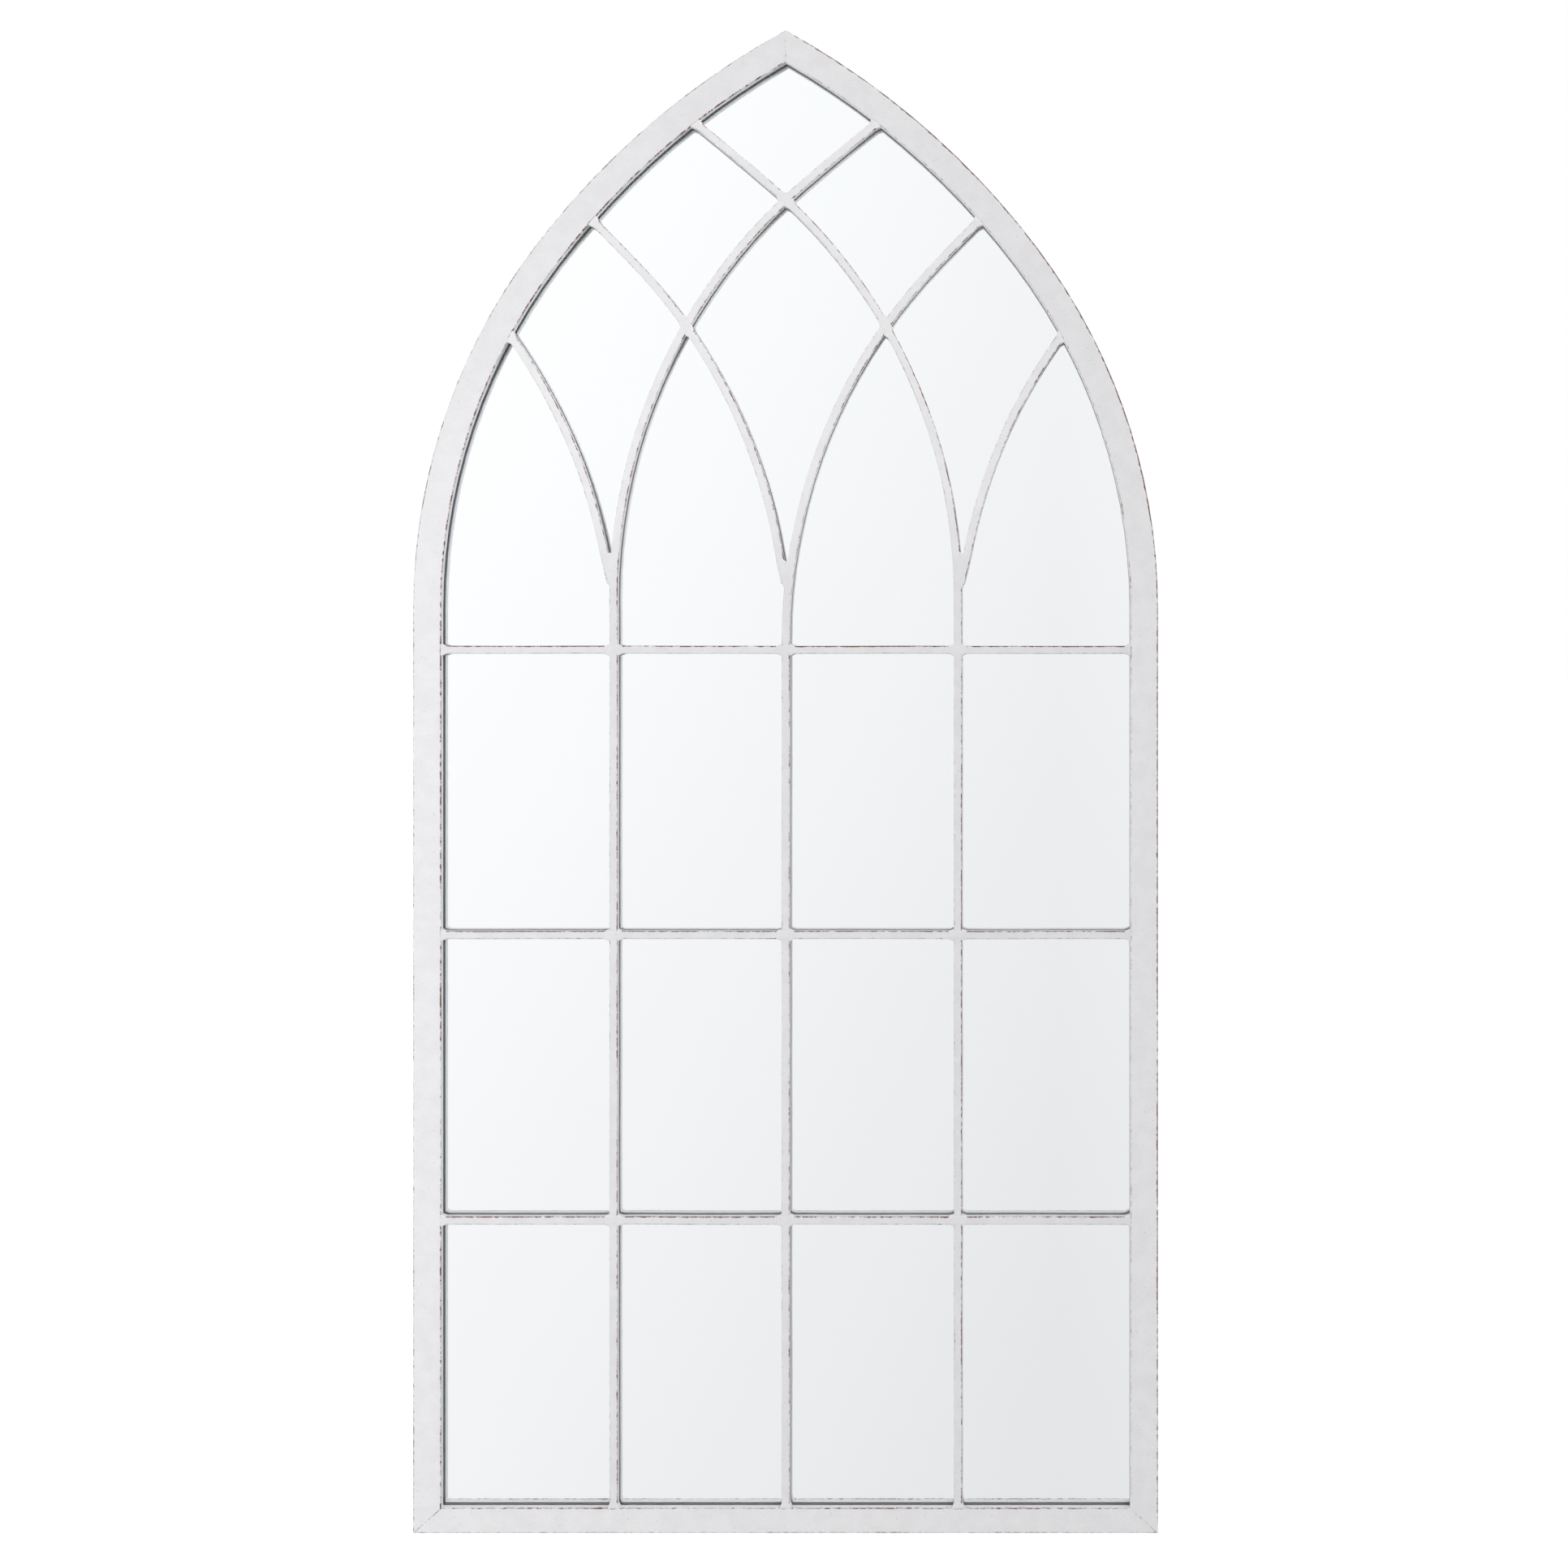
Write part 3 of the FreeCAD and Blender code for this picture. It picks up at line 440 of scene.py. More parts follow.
def glass_side_shade_paint(name, tones):
    """Painted shade: a cool grey tint on the faces that lie towards the glass, setting how dark they look
    in the mirror.
    """
    material, n, shader = new_material(name)
    cloud = n.noise(n.place(), scale=120, detail=4.0)
    n.set(shader.inputs["Base Color"], n.mix(cloud, *tones))
    n.set(shader.inputs["Roughness"], n.spread(cloud, start=0.5, end=0.65))
    n.set(shader.inputs["Normal"], n.bump(cloud, GLASS_SIDE_SHADE_RELIEF, strength=0.5))
    return material


def clear_glass():
    """The front and the ground edges of the sheet, faintly green in its depth."""
    material, n, shader = new_material("float_glass")
    place = n.place()
    n.set(shader.inputs["Base Color"], n.mix(n.noise(place, scale=6, detail=2.0), *GLASS_TONES))
    n.set(shader.inputs["Roughness"], n.ramp(n.noise(place, scale=220), low=0.62, high=0.8, end=0.012))
    shader.inputs["Transmission Weight"].default_value = 1.0
    shader.inputs["IOR"].default_value = GLASS_BENDING
    return material


def silver_coat():
    """The silvered back of the sheet, seen through the glass."""
    material, n, shader = new_material("mirror_silver")
    place = n.place()
    n.set(shader.inputs["Base Color"], n.mix(n.noise(place, scale=9, detail=2.0), *SILVER_TONES))
    n.set(shader.inputs["Roughness"], n.ramp(n.noise(place, scale=160), low=0.6, high=0.8, end=0.015))
    shader.inputs["Metallic"].default_value = 1.0
    return material


def foam_tape():
    """Grey foam with fine pores, set light as painted light so the shaded gap it lines looks brighter in
    the mirror.
    """
    material, n, shader = new_material("foam_tape")
    pores = n.noise(n.place(), scale=1400, detail=3.0)
    n.set(shader.inputs["Base Color"], n.mix(pores, *FOAM_LIGHTENED_TONES))
    n.set(shader.inputs["Roughness"], n.spread(pores, start=0.8, end=0.95))
    n.set(shader.inputs["Normal"], n.bump(pores, FOAM_RELIEF))
    return material


def hardboard():
    """Pressed brown fibre, with loose threads of lighter and darker fibre."""
    material, n, shader = new_material("pressed_hardboard")
    place = n.place()
    cloud = n.noise(place, scale=22, detail=5.0, roughness=0.6)
    fine = n.noise(place, scale=1300, detail=2.0)
    upright = n.stretched_noise(place, BOARD_FIBRES_UPRIGHT, detail=3.0)
    threads = n.maths("MAXIMUM", upright, n.stretched_noise(place, BOARD_FIBRES_LEVEL, detail=3.0))
    base = n.mix(n.spread(cloud), *BOARD_TONES)
    base = n.mix(n.ramp(threads, low=0.58, high=0.72, end=0.55), base, BOARD_THREAD_TONE)
    base = n.mix(n.ramp(fine, low=0.6, high=0.75, end=0.5), base, BOARD_PIT_TONE)
    n.set(shader.inputs["Base Color"], base)
    n.set(shader.inputs["Roughness"], n.ramp(threads, low=0.4, high=0.7, start=0.62, end=0.8))
    n.set(shader.inputs["Normal"], n.bump(n.maths("ADD", threads, fine), BOARD_RELIEF, strength=0.7))
    return material


def zinc_steel():
    """Zinc-plated steel, slightly cloudy, with fine rubbing marks."""
    material, n, shader = new_material("zinc_plate")
    place = n.place()
    cloud = n.noise(place, scale=320, detail=4.0)
    marks = n.stretched_noise(place, ZINC_MARKS, detail=2.0)
    n.set(shader.inputs["Base Color"], n.mix(n.spread(cloud), *ZINC_TONES))
    rough = n.spread(cloud, start=0.28, end=0.42)
    rough = n.maths("ADD", rough, n.maths("MULTIPLY", marks, ZINC_MARK_SHARE))
    n.set(shader.inputs["Roughness"], rough)
    shader.inputs["Metallic"].default_value = 1.0
    n.set(shader.inputs["Normal"], n.bump(marks, ZINC_RELIEF, strength=0.5))
    return material


def bumper_rubber():
    """Black rubber with a faint grey bloom."""
    material, n, shader = new_material("bumper_rubber")
    place = n.place()
    grain = n.noise(place, scale=1600, detail=2.0)
    bloom = n.noise(place, scale=180, detail=4.0)
    n.set(shader.inputs["Base Color"], n.mix(n.ramp(bloom, low=0.35, high=0.7), *RUBBER_TONES))
    n.set(shader.inputs["Roughness"], n.spread(bloom, start=0.55, end=0.75))
    n.set(shader.inputs["Normal"], n.bump(grain, RUBBER_RELIEF, strength=0.6))
    return material


PAINT = painted_steel("distressed_paint", FRAME_TONES, FRAME_TONES)
BAR_PAINT = painted_steel("distressed_bar_paint", BAR_TONES, TRACERY_PAINTED_LIGHT_TONES)
GLASS_SIDE_SHADE = glass_side_shade_paint("glass_side_shade", GLASS_SIDE_SHADE_TONES)
BAR_GLASS_SIDE_SHADE = glass_side_shade_paint("bar_glass_side_shade", BAR_GLASS_SIDE_SHADE_TONES)
GLASS = clear_glass()
SILVER = silver_coat()
TAPE = foam_tape()
BOARD = hardboard()
ZINC = zinc_steel()
RUBBER = bumper_rubber()

# The painted frame and bars


def mark_wear(form, usual, rightward, upward):
    """Wear on the rounded front edges and along the joints, by the way that each edge faces."""
    kind = form.faces.layers.int["kind"]
    wear = form.verts.layers.float.new("wear")
    form.normal_update()
    front = min(v.co.y for v in form.verts)
    for v in form.verts:
        kinds = {face[kind] for face in v.link_faces}
        share = 0.0
        if v.co.y < front + FRONT_EDGE_DEPTH:
            if ROUNDED in kinds:
                share = usual + rightward * v.normal.x + upward * v.normal.z
            elif JOINT in kinds:
                share = SEAM_WEAR
        gap = JOINTS.find(v.co)[2]
        v[wear] = share * (1 + JOINT_WEAR * max(0, 1 - gap / JOINT_WEAR_REACH))


def painted_outline(node):
    """A painted bar's plain shape, with the faces where it meets its neighbours marked."""
    form = outline_of(node)
    kind = form.faces.layers.int.new("kind")
    joints = joint_faces(form, surface_of([name for name in PAINTED if name != node]))
    for face in joints:
        face[kind] = JOINT
    return form, kind, joints


def paint_bar(node, width, reach, wear_shares, fade):
    """One painted bar: rounded edges where they are free, crisp where it meets its neighbours."""
    form, kind, joints = painted_outline(node)
    for face in round_edges(form, width, EDGE_SEGMENTS, set(joints), SHORTEST_EDGE):
        face[kind] = ROUNDED
    open_faces = [face for face in form.faces if face[kind] == FLAT]
    bmesh.ops.inset_region(
        form, faces=open_faces, thickness=fade, use_boundary=True, use_even_offset=True
    )
    cut_across(form, CUT_STEP)
    if node in BRANCH_HOSTS:
        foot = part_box(node)[0].z
        way = math.copysign(1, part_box(BRANCH_HOSTS[node])[0].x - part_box(node)[0].x)
        for v in form.verts:
            v.co.x += way * heel_pull(v.co.z - foot)
    keep_within(form, node)
    mark_wear(form, *wear_shares)
    if reach:
        wander(form, reach)
    # Faces towards the glass take the painted-shade tint.
    if node not in REAR_BARS:
        for face in form.faces:
            face.material_index = 1 if face.normal.y > FACING_SHARE else 0
    paint = BAR_PAINT if node in SLIM_BARS else PAINT
    glass_side_shade = BAR_GLASS_SIDE_SHADE if node in SLIM_BARS else GLASS_SIDE_SHADE
    piece_from(form, node + "_painted", [paint, glass_side_shade], "frame", [node])


def joints_of(node):
    """The plans of the welds at one bar's joints."""
    form, _, joints = painted_outline(node)
    plans = [weld_plan(group) for group in touching_groups(joints)]
    form.free()
    return plans


def touching_groups(faces):
    """Sort joint faces into groups of neighbours, one group for each joint."""
    left = set(faces)
    groups = []
    while left:
        group = []
        waiting = [left.pop()]
        while waiting:
            face = waiting.pop()
            group.append(face)
            for edge in face.edges:
                for other in edge.link_faces:
                    if other in left:
                        left.remove(other)
                        waiting.append(other)
        groups.append(group)
    return groups


def weld_plan(group):
    """Where one joint's weld lies: the joint's corners, the way out of the bar, and the way along it."""
    corners = list({v for face in group for v in face.verts})
    centre = sum((v.co for v in corners), Vector()) / len(corners)
    outward = sum((face.normal for face in group), Vector()).normalized()
    rails = [
        (v.co - edge.other_vert(v).co).normalized()
        for v in corners
        for edge in v.link_edges
        if not any(face in group for face in edge.link_faces)
    ]
    along = sum(rails, Vector()).normalized() if rails else outward
    return {"corners": [v.co.copy() for v in corners], "centre": centre, "outward": outward, "along": along}


def add_hull(form, points):
    """Add the closed convex solid round some points."""
    corners = [form.verts.new(point) for point in points]
    made = bmesh.ops.convex_hull(form, input=corners)
    spare = {item for key in ("geom_interior", "geom_unused") for item in made[key]}
    bmesh.ops.delete(form, geom=[v for v in corners if v in spare], context="VERTS")


def grown(plan, sideways, deep):
    """A joint's corners, spread in the plane of the window and in depth."""
    side = plan["outward"].cross(Vector((0, 1, 0))).normalized()
    spread = []
    for corner in plan["corners"]:
        offset = corner - plan["centre"]
        across = math.copysign(sideways, offset.dot(side))
        depth = math.copysign(deep, offset.y)
        spread.append(corner + side * across + Vector((0, depth, 0)))
    return spread


def heel_pull(height):
    """How far a branch is drawn towards its upright, at a height above its heel."""
    return HEEL_PULL * max(0, 1 - height / HEEL_PULL_REACH) ** 2


def side_at(surface, x, level, depth, way):
    """Where a level line first meets a bar's side."""
    return surface.ray_cast(Vector((x, depth, level)), Vector((way, 0, 0)))[0].x


def branch_webs(branch, host):
    """The corners of the welds that fill a branch's crotch and round off its heel."""
    heel = min(weld_plans[branch], key=lambda plan: plan["centre"].z)
    way = math.copysign(1, heel["outward"].x)
    front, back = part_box(branch)[0].y - WEB_SWELL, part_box(branch)[1].y
    depth = (front + back) / 2
    branch_side, host_side = surface_of([branch]), surface_of([host])
    before, beyond = heel["centre"].x - way, heel["centre"].x + way
    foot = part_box(branch)[0].z
    meeting = max(corner.z for corner in heel["corners"])

    notch = meeting
    gap = 0
    while gap < CROTCH_GAP:
        notch += CROTCH_STEP
        on_host = side_at(host_side, before, notch, depth, way)
        gap = abs(on_host - side_at(branch_side, on_host, notch, depth, -way))

    def row(level):
        """The web's two ends at a level, a little inside the outer edges of branch and upright."""
        outer = side_at(branch_side, before, level, depth, way) + way * heel_pull(level - foot)
        far = side_at(host_side, beyond, level, depth, -way)
        return [(outer + way * WEB_INSET, level), (far - way * WEB_INSET, level)]

    low = foot + WEB_INSET
    tip = side_at(host_side, before, foot - HEEL_DROP, depth, way)
    heel_tip = [(tip, foot - HEEL_DROP), (tip + way * WEB_INSET, foot - HEEL_DROP)]
    webs = [row(notch) + row(meeting), row(meeting) + row(low), row(low) + heel_tip]
    return [[Vector((x, y, z)) for x, z in web for y in (front, back)] for web in webs]


def add_weld(form, plan, at_frame):
    """One joint's weld: a sleeve along the bar, and a fillet that flares where the bar ends."""
    side = plan["outward"].cross(Vector((0, 1, 0))).normalized()
    length = 2 * max(abs((corner - plan["centre"]).dot(side)) for corner in plan["corners"])
    ends = grown(plan, 0, WELD_SWELL)
    if length > LONG_JOINT:
        way = plan["outward"] * LONG_JOINT_REACH
        add_hull(form, [p + way for p in ends] + [p - way for p in ends])
        return
    through = WELD_AT_FRAME if at_frame else WELD_THROUGH
    way = plan["along"]
    add_hull(form, [p + way * through for p in ends] + [p - way * WELD_IN for p in ends])
    wide = [p + plan["outward"] * FILLET_THROUGH for p in grown(plan, FILLET_FLARE, -WELD_SWELL)]
    narrow = [p - way * FILLET_LENGTH for p in grown(plan, 0, -WELD_SWELL)]
    add_hull(form, wide + narrow)


def make_welds(name, plans, webs, frame_surface):
    """Rounded lumps of weld, painted over, where the bars meet."""
    form = bmesh.new()
    for web in webs:
        add_hull(form, web)
    for plan in plans:
        at_frame = frame_surface.find_nearest(plan["centre"], JOINT_GAP)[0] is not None
        add_weld(form, plan, at_frame)
    blocks = object_of(form, name + "_blocks")
    melt = blocks.modifiers.new("melt", "REMESH")
    melt.mode = "VOXEL"
    melt.voxel_size = WELD_VOXEL
    flow = blocks.modifiers.new("flow", "SMOOTH")
    flow.factor = WELD_FLOW_SHARE
    flow.iterations = WELD_FLOW_ROUNDS
    melted = taken_mesh(blocks)
    form = bmesh.new()
    form.from_mesh(melted)
    bpy.data.meshes.remove(melted)
    wear = form.verts.layers.float.new("wear")
    form.normal_update()
    for v in form.verts:
        v.co += v.normal * (noise.noise(v.co * WELD_LUMPS_PER_METRE) * WELD_LUMP)
        v.co.y = max(v.co.y, CAD_LOW.y)
        v[wear] = WELD_WEAR
    piece_from(form, name, BAR_PAINT, "frame", ())


# How worn edges are: usually, and the more as they face to the right and upwards

FRAME_WEAR = {
    "left_frame_bar": (0.88, 0.05, -0.12),
    "right_frame_bar": (0.90, 0.75, 0.6),
    "bottom_frame_bar": (0.95, 0.0, 0.65),
}
REAR_WEAR = (0.8, 0.0, 0.0)
CROSS_BAR_WEAR = (0.82, 0.0, 0.42)
# The top row's upper edges wear hardest; part of that dark line is painted shade along them.
TOP_CROSS_BAR_WEAR_AND_SHADE = (1.0, 0.0, 0.8)
UPRIGHT_WEAR = (0.70, 0.27, 0.0)
RIGHT_UPRIGHT_WEAR = (0.76, 0.45, 0.0)
TRACERY_WEAR = (0.73, 0.30, 0.08)
FRAME_WEAR_FADE = {
    "left_frame_bar": 0.9 * MM,
    "right_frame_bar": 1.9 * MM,
    "bottom_frame_bar": 1.3 * MM,
}
REAR_WEAR_FADE = 0.8 * MM
TRACERY_WEAR_FADE = 1.1 * MM
CROSS_BAR_WEAR_FADE = 1.4 * MM
LEFT_UPRIGHTS, RIGHT_UPRIGHTS = UPRIGHTS[:2], UPRIGHTS[2:]
TOP_CROSS_BARS, LOWER_CROSS_BARS = CROSS_BARS[:4], CROSS_BARS[4:]

weld_plans = {node: joints_of(node) for node in SLIM_BARS}
places = [plan["centre"] for plans in weld_plans.values() for plan in plans]
places += [plan["centre"] for node in FRAME_BARS for plan in joints_of(node)]
JOINTS = KDTree(len(places))
for number, place in enumerate(places):
    JOINTS.insert(place, number)
JOINTS.balance()

for node in FRAME_BARS:
    paint_bar(node, FRAME_EDGE, 0, FRAME_WEAR[node], FRAME_WEAR_FADE[node])
for node in REAR_BARS:
    paint_bar(node, FRAME_EDGE, 0, REAR_WEAR, REAR_WEAR_FADE)
for nodes, shares, fade in (
    (LEFT_UPRIGHTS, UPRIGHT_WEAR, TRACERY_WEAR_FADE),
    (RIGHT_UPRIGHTS, RIGHT_UPRIGHT_WEAR, TRACERY_WEAR_FADE),
    (TRACERY, TRACERY_WEAR, TRACERY_WEAR_FADE),
    (TOP_CROSS_BARS, TOP_CROSS_BAR_WEAR_AND_SHADE, CROSS_BAR_WEAR_FADE),
    (LOWER_CROSS_BARS, CROSS_BAR_WEAR, CROSS_BAR_WEAR_FADE),
):
    for node in nodes:
        paint_bar(node, BAR_EDGE, WANDER, shares, fade)

frame_surface = surface_of(FRAME_BARS)
webs = [web for branch, host in BRANCH_HOSTS.items() for web in branch_webs(branch, host)]
cross_plans = [plan for node in CROSS_BARS for plan in weld_plans[node]]
tracery_plans = [plan for node in UPRIGHTS + TRACERY for plan in weld_plans[node]]
make_welds("cross_bar_welds", cross_plans, [], frame_surface)
make_welds("tracery_welds", tracery_plans, webs, frame_surface)

# The sheet of mirror glass

GLASS_EDGE = 0.4 * MM
GLASS_EDGE_SEGMENTS = 1
GLASS_PLAY = 0.05 * MM

form = outline_of("mirror_glass")
round_edges(form, GLASS_EDGE, GLASS_EDGE_SEGMENTS)
form.normal_update()
glass_low, glass_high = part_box("mirror_glass")
for v in form.verts:
    v.co.y = min(max(v.co.y, glass_low.y + GLASS_PLAY), glass_high.y - GLASS_PLAY)
for face in form.faces:
    face.material_index = 1 if face.normal.y > FACING_SHARE else 0
piece_from(form, "mirror_sheet", [GLASS, SILVER], "frame", ["mirror_glass"], smooth=False)

# The back: board, tape, buttons and hangers

BOARD_EDGE = 0.4 * MM
METAL_EDGE = 0.25 * MM
BACK_EDGE_SEGMENTS = 2
BUTTON_COUNT = 10
TAPES = ["left_glazing_tape", "right_glazing_tape", "bottom_glazing_tape"]
RINGS = ["left_hanger_ring", "right_hanger_ring"]


def dress(node, name, width, material, body):
    """A node's own shape with rounded edges."""
    form = outline_of(node)
    round_edges(form, width, BACK_EDGE_SEGMENTS)
    keep_within(form, node)
    piece_from(form, name, material, body, [node])


dress("backing_board", "backing_sheet", BOARD_EDGE, BOARD, "frame")
for number in range(1, BUTTON_COUNT + 1):
    node = f"turn_button_{number:02d}"
    dress(node, node + "_plate", METAL_EDGE, ZINC, node)
for side in ("left", "right"):
    dress(f"{side}_hanger_strap", f"{side}_strap", METAL_EDGE, ZINC, "frame")

for nodes, material in ((TAPES, TAPE), (RINGS, ZINC)):
    for node in nodes:
        NODES[node].data.materials.clear()
        NODES[node].data.materials.append(material)

# Turned pieces: pan-head screws with a cross recess, and rubber feet

TURNED_SIDES = 40
SHANK_RADIUS = 1.5 * MM
HEAD_HEIGHT = 1.6 * MM
HEAD_PROFILE = [
    (2.65 * MM, 0),
    (2.80 * MM, 0.18 * MM),
    (2.78 * MM, 0.45 * MM),
    (2.58 * MM, 0.90 * MM),
    (2.12 * MM, 1.27 * MM),
    (1.45 * MM, 1.49 * MM),
    (0.70 * MM, 1.58 * MM),
    (0, HEAD_HEIGHT),
]
RECESS_LENGTH = 3.1 * MM
RECESS_WIDTH = 0.75 * MM
RECESS_DEPTH = 1.0 * MM
RECESS_OVERRUN = 0.1 * MM
RECESS_TAPER = 0.7
SCREW_TURN = math.radians(67)
FOOT_HEIGHT = 6 * MM
FOOT_PROFILE = [
    (0, 0),
    (6.30 * MM, 0),
    (6.50 * MM, 0.20 * MM),
    (5.28 * MM, 4.90 * MM),
    (5.05 * MM, 5.45 * MM),
    (4.70 * MM, 5.82 * MM),
    (4.20 * MM, FOOT_HEIGHT),
    (0, FOOT_HEIGHT),
]


def islands(node):
    """The boxes of the separate solids in a node."""
    form = outline_of(node)
    left = set(form.verts)
    boxes = []
    while left:
        waiting = [left.pop()]
        found = []
        while waiting:
            v = waiting.pop()
            found.append(v.co.copy())
            for edge in v.link_edges:
                other = edge.other_vert(v)
                if other in left:
                    left.remove(other)
                    waiting.append(other)
        low = Vector([min(co[axis] for co in found) for axis in range(3)])
        high = Vector([max(co[axis] for co in found) for axis in range(3)])
        boxes.append((low, high))
    form.free()
    return sorted(boxes, key=lambda box: tuple(box[0]))


def turned(profile, name):
    """A solid turned about Y, from its radius at each distance from its seat."""
    form = bmesh.new()
    points = [form.verts.new((radius, along, 0)) for radius, along in profile]
    lines = [form.edges.new(pair) for pair in zip(points, points[1:])]
    bmesh.ops.spin(
        form,
        geom=points + lines,
        cent=(0, 0, 0),
        axis=(0, 1, 0),
        angle=math.tau,
        steps=TURNED_SIDES,
        use_merge=True,
    )
    bmesh.ops.remove_doubles(form, verts=form.verts, dist=SAME_POINT)
    bmesh.ops.recalc_face_normals(form, faces=form.faces)
    return object_of(form, name)


def recess_cutter():
    """Two crossed wedges, narrower at the bottom of the recess."""
    form = bmesh.new()
    for turn in (0, math.pi / 2):
        made = bmesh.ops.create_cube(form, size=1)
        for v in made["verts"]:
            share = 1 if v.co.y > 0 else RECESS_TAPER
            level = HEAD_HEIGHT + RECESS_OVERRUN if v.co.y > 0 else HEAD_HEIGHT - RECESS_DEPTH
            v.co = Vector((v.co.x * RECESS_LENGTH * share, level, v.co.z * RECESS_WIDTH * share))
        bmesh.ops.rotate(form, verts=made["verts"], matrix=Matrix.Rotation(turn, 3, "Y"))
    return object_of(form, "recess_cutter")


def screw_mesh(length):
    """One screw with its recess cut out."""
    shank = [(0, -length), (SHANK_RADIUS, -length), (SHANK_RADIUS, 0)]
    screw = turned(shank + HEAD_PROFILE, "screw_blank")
    cutter = recess_cutter()
    cut = screw.modifiers.new("recess", "BOOLEAN")
    cut.operation = "DIFFERENCE"
    cut.object = cutter
    cut.solver = "EXACT"
    cut.use_self = True
    return taken_mesh(screw, cutter)


def set_in_place(node, name, mesh, height, material):
    """Copies of a turned piece in place of a node's solids, each turned round a little further."""
    form = bmesh.new()
    for number, (low, high) in enumerate(islands(node)):
        start = len(form.verts)
        form.from_mesh(mesh)
        form.verts.ensure_lookup_table()
        added = form.verts[start:]
        seat = Vector(((low.x + high.x) / 2, high.y - height, (low.z + high.z) / 2))
        bmesh.ops.rotate(form, verts=added, matrix=Matrix.Rotation(number * SCREW_TURN, 3, "Y"))
        bmesh.ops.translate(form, verts=added, vec=seat)
    bpy.data.meshes.remove(mesh)
    piece_from(form, name, material, "frame", [node])


for node in ("turn_button_screws", "hanger_screws"):
    low, high = islands(node)[0]
    mesh = screw_mesh(high.y - HEAD_HEIGHT - low.y)
    set_in_place(node, node.replace("screws", "screw_heads"), mesh, HEAD_HEIGHT, ZINC)
feet = taken_mesh(turned(FOOT_PROFILE, "foot"))
set_in_place("wall_bumpers", "wall_bumper_feet", feet, FOOT_HEIGHT, RUBBER)

# Camera: level, parallel to the mirror, a little above and to the right of its middle

PHOTO_WIDTH = 1460.6 * MM
CAMERA_DISTANCE = 1400 * MM
CAMERA_RIGHT = 256 * MM
CAMERA_HEIGHT = 829 * MM
IMAGE_MIDDLE_X = -1.4 * MM
IMAGE_MIDDLE_Z = 698 * MM
SENSOR = 36
LEVEL_PITCH = math.radians(90)

camera_data = bpy.data.cameras.new("camera")
camera_data.sensor_width = SENSOR
camera_data.lens = SENSOR * CAMERA_DISTANCE / PHOTO_WIDTH
camera_data.shift_x = (IMAGE_MIDDLE_X - CAMERA_RIGHT) / PHOTO_WIDTH
camera_data.shift_y = (IMAGE_MIDDLE_Z - CAMERA_HEIGHT) / PHOTO_WIDTH
camera = bpy.data.objects.new("camera", camera_data)
camera.location = (CAMERA_RIGHT, CAD_LOW.y - CAMERA_DISTANCE, CAMERA_HEIGHT)
camera.rotation_euler = (LEVEL_PITCH, 0, 0)
bpy.context.scene.collection.objects.link(camera)
bpy.context.scene.camera = camera

# Floor, lamps and background

FLOOR_DROP = 0.5 * MM
FLOOR_REACH = 30.0
FLOOR_TONE = (0.9, 0.9, 0.9, 1)
FLOOR_GLOW = 1.08
FLOOR_GLOW_SHARE = 0.8
WHITE = (1, 1, 1, 1)


def pale_floor():
    """A nearly white floor that hardly shows against the background."""
    material = bpy.data.materials.new("pale_floor")
    material.use_nodes = True
    tree = material.node_tree
    tree.nodes.clear()
    n = Nodes(tree)
    shade = n.add("ShaderNodeBsdfDiffuse", None, {"Color": FLOOR_TONE})
    glow = n.add("ShaderNodeEmission", None, {"Color": WHITE, "Strength": FLOOR_GLOW})
    seen = n.add("ShaderNodeLightPath").outputs["Is Camera Ray"]
    share = n.maths("MULTIPLY", seen, FLOOR_GLOW_SHARE)
    both = n.add("ShaderNodeMixShader", None, {0: share, 1: shade.outputs[0], 2: glow.outputs[0]})
    n.add("ShaderNodeOutputMaterial", None, {"Surface": both.outputs[0]})
    return material


form = bmesh.new()
bmesh.ops.create_grid(form, x_segments=2, y_segments=2, size=FLOOR_REACH)
floor = object_of(form, "floor")
floor.data.materials.append(pale_floor())
floor.location = (0, 0, CAD_LOW.z - FLOOR_DROP)
floor.visible_diffuse = False
floor.visible_glossy = False
floor.visible_transmission = False
floor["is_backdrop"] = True

KEY_PLACE = Vector((-1.6, -1.7, 0.75))
KEY_SIZE = 1.2
KEY_POWER = 21.5
FAR_LIGHTS = {
    "right_light": {"way": Vector((1, -0.12, 0)), "strength": 1.5},
    "top_light": {"way": Vector((0.1, -0.12, 1)), "strength": 0.95},
    "back_light": {"way": Vector((-0.5, 1, 0.45)), "strength": 1.1},
}
FAR_ANGLE = math.radians(8)


def place_lamp(data, place, target):
    """Hang a lamp that lights the object without showing in its glass."""
    lamp = bpy.data.objects.new(data.name, data)
    lamp.location = place
    lamp.rotation_euler = (target - place).to_track_quat("-Z", "Y").to_euler()
    lamp.visible_camera = False
    lamp.visible_glossy = False
    lamp.visible_transmission = False
    bpy.context.scene.collection.objects.link(lamp)


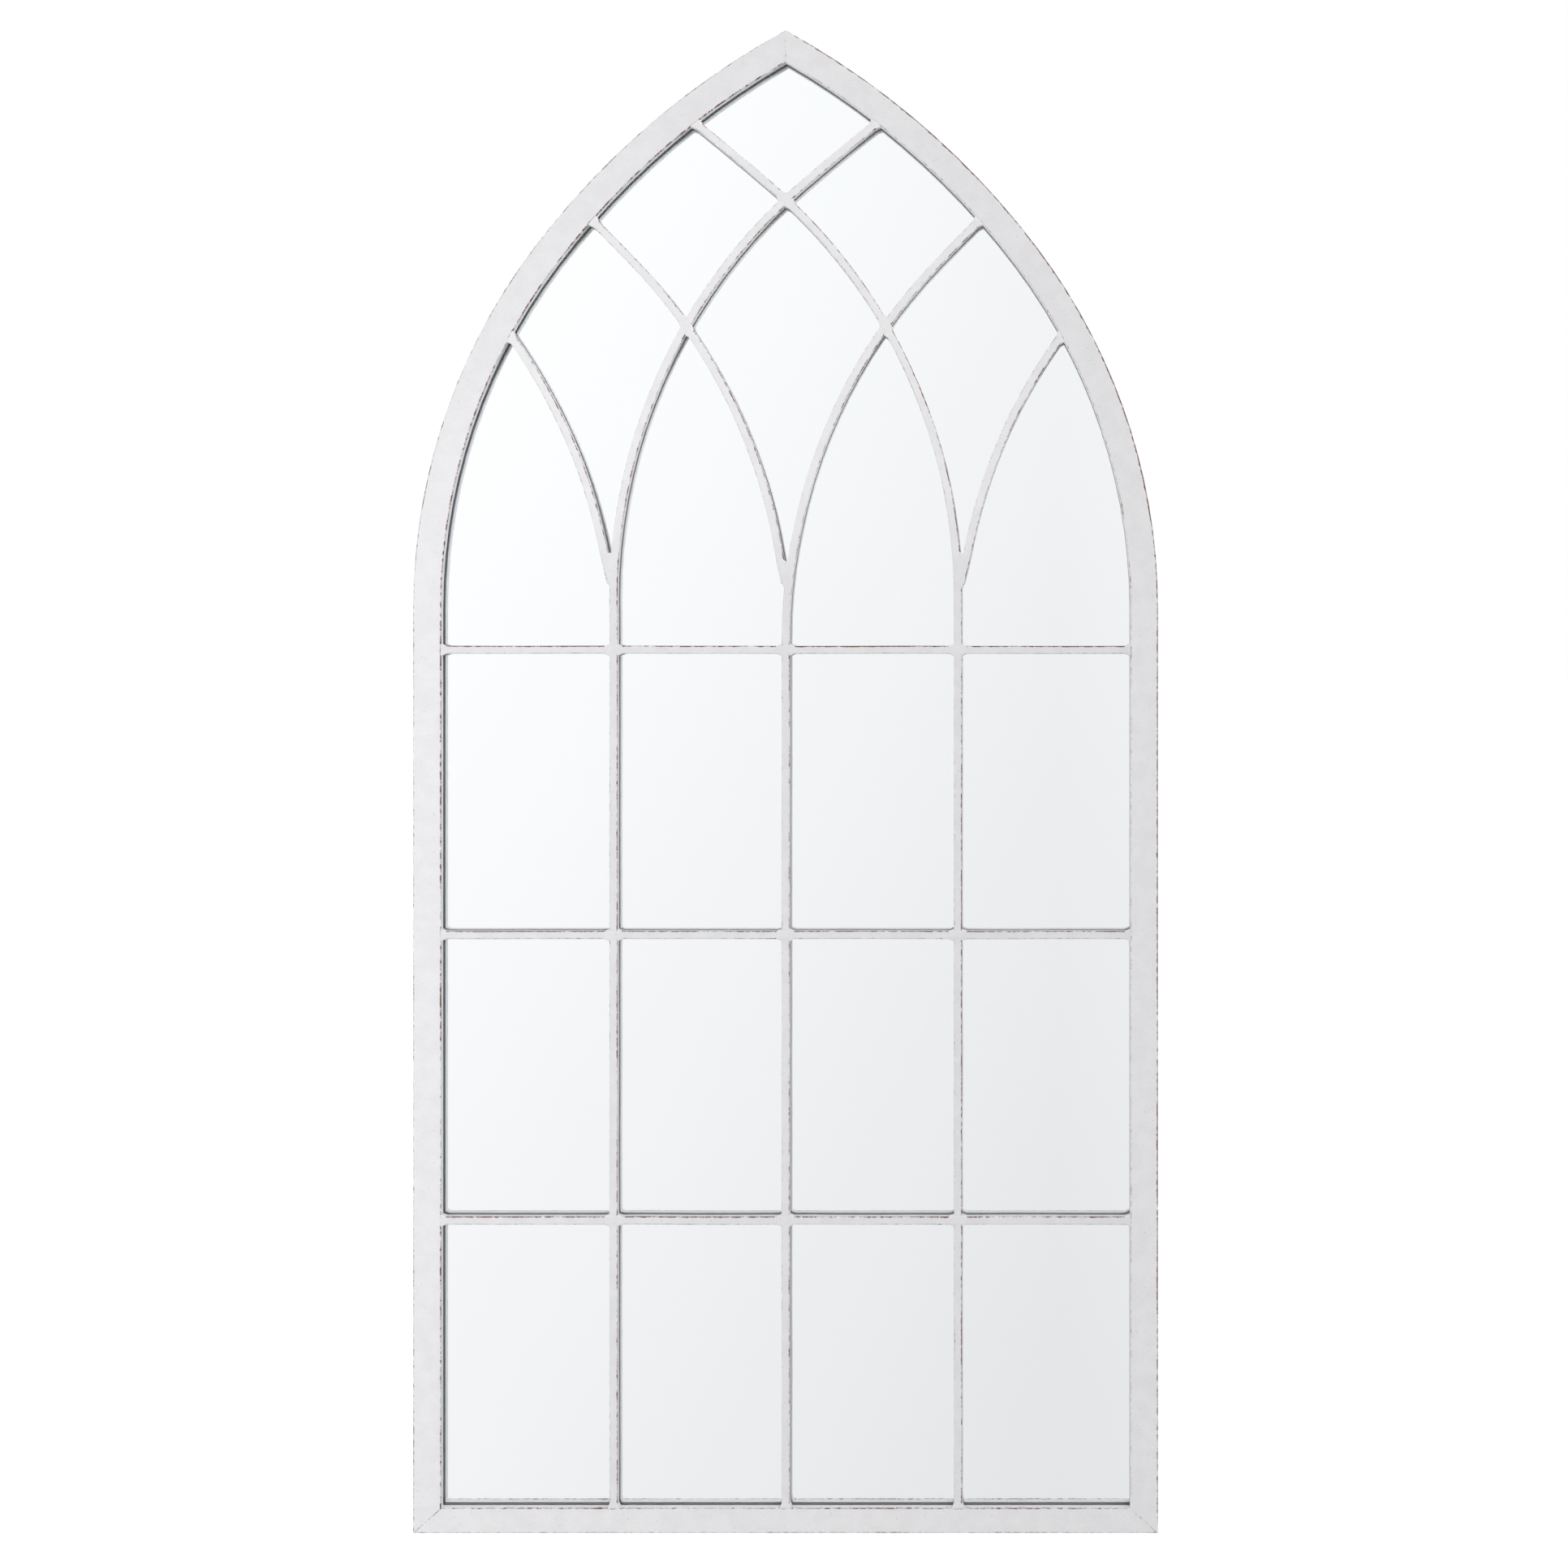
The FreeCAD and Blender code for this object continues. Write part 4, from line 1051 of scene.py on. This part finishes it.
middle = (CAD_LOW + CAD_HIGH) / 2
key = bpy.data.lights.new("key_lamp", "AREA")
key.shape = "DISK"
key.size = KEY_SIZE
key.energy = KEY_POWER
place_lamp(key, KEY_PLACE, middle)
for name, facts in FAR_LIGHTS.items():
    far = bpy.data.lights.new(name, "SUN")
    far.energy = facts["strength"]
    far.angle = FAR_ANGLE
    place_lamp(far, middle + facts["way"], middle)

AMBIENT = 0.60
STUDIO_TONE = (0.985, 0.993, 1.0, 1)
SKY_LEVEL = 0.885
SKY_SIDES = 0.34
SKY_UPWARD = 0.17
SKY_LEAST = 0.78
SKY_MOST = 1.04

world = bpy.data.worlds.new("studio")
bpy.context.scene.world = world
world.use_nodes = True
world.node_tree.nodes.clear()
n = Nodes(world.node_tree)
direction = n.add("ShaderNodeTexCoord").outputs["Generated"]
ways = n.add("ShaderNodeSeparateXYZ", None, {"Vector": direction})
sides = n.maths("MULTIPLY", n.maths("ABSOLUTE", ways.outputs["X"]), SKY_SIDES)
upward = n.maths("MULTIPLY", ways.outputs["Z"], SKY_UPWARD)
level = n.maths("ADD", n.maths("ADD", sides, upward), SKY_LEVEL)
level = n.maths("MINIMUM", n.maths("MAXIMUM", level, SKY_LEAST), SKY_MOST)
path = n.add("ShaderNodeLightPath")
mirrored = n.maths("MAXIMUM", path.outputs["Is Glossy Ray"], path.outputs["Is Transmission Ray"])
ambient = n.add("ShaderNodeBackground", None, {"Color": WHITE, "Strength": AMBIENT})
studio = n.add("ShaderNodeBackground", None, {"Color": STUDIO_TONE, "Strength": level})
white = n.add("ShaderNodeBackground", None, {"Color": WHITE, "Strength": 1.0})
around = n.add("ShaderNodeMixShader", None, {0: mirrored, 1: ambient.outputs[0], 2: studio.outputs[0]})
direct = path.outputs["Is Camera Ray"]
seen = n.add("ShaderNodeMixShader", None, {0: direct, 1: around.outputs[0], 2: white.outputs[0]})
n.add("ShaderNodeOutputWorld", None, {"Surface": seen.outputs[0]})

bpy.context.scene.view_settings.view_transform = "Standard"

# The object's box, as built and as dressed

low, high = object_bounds()
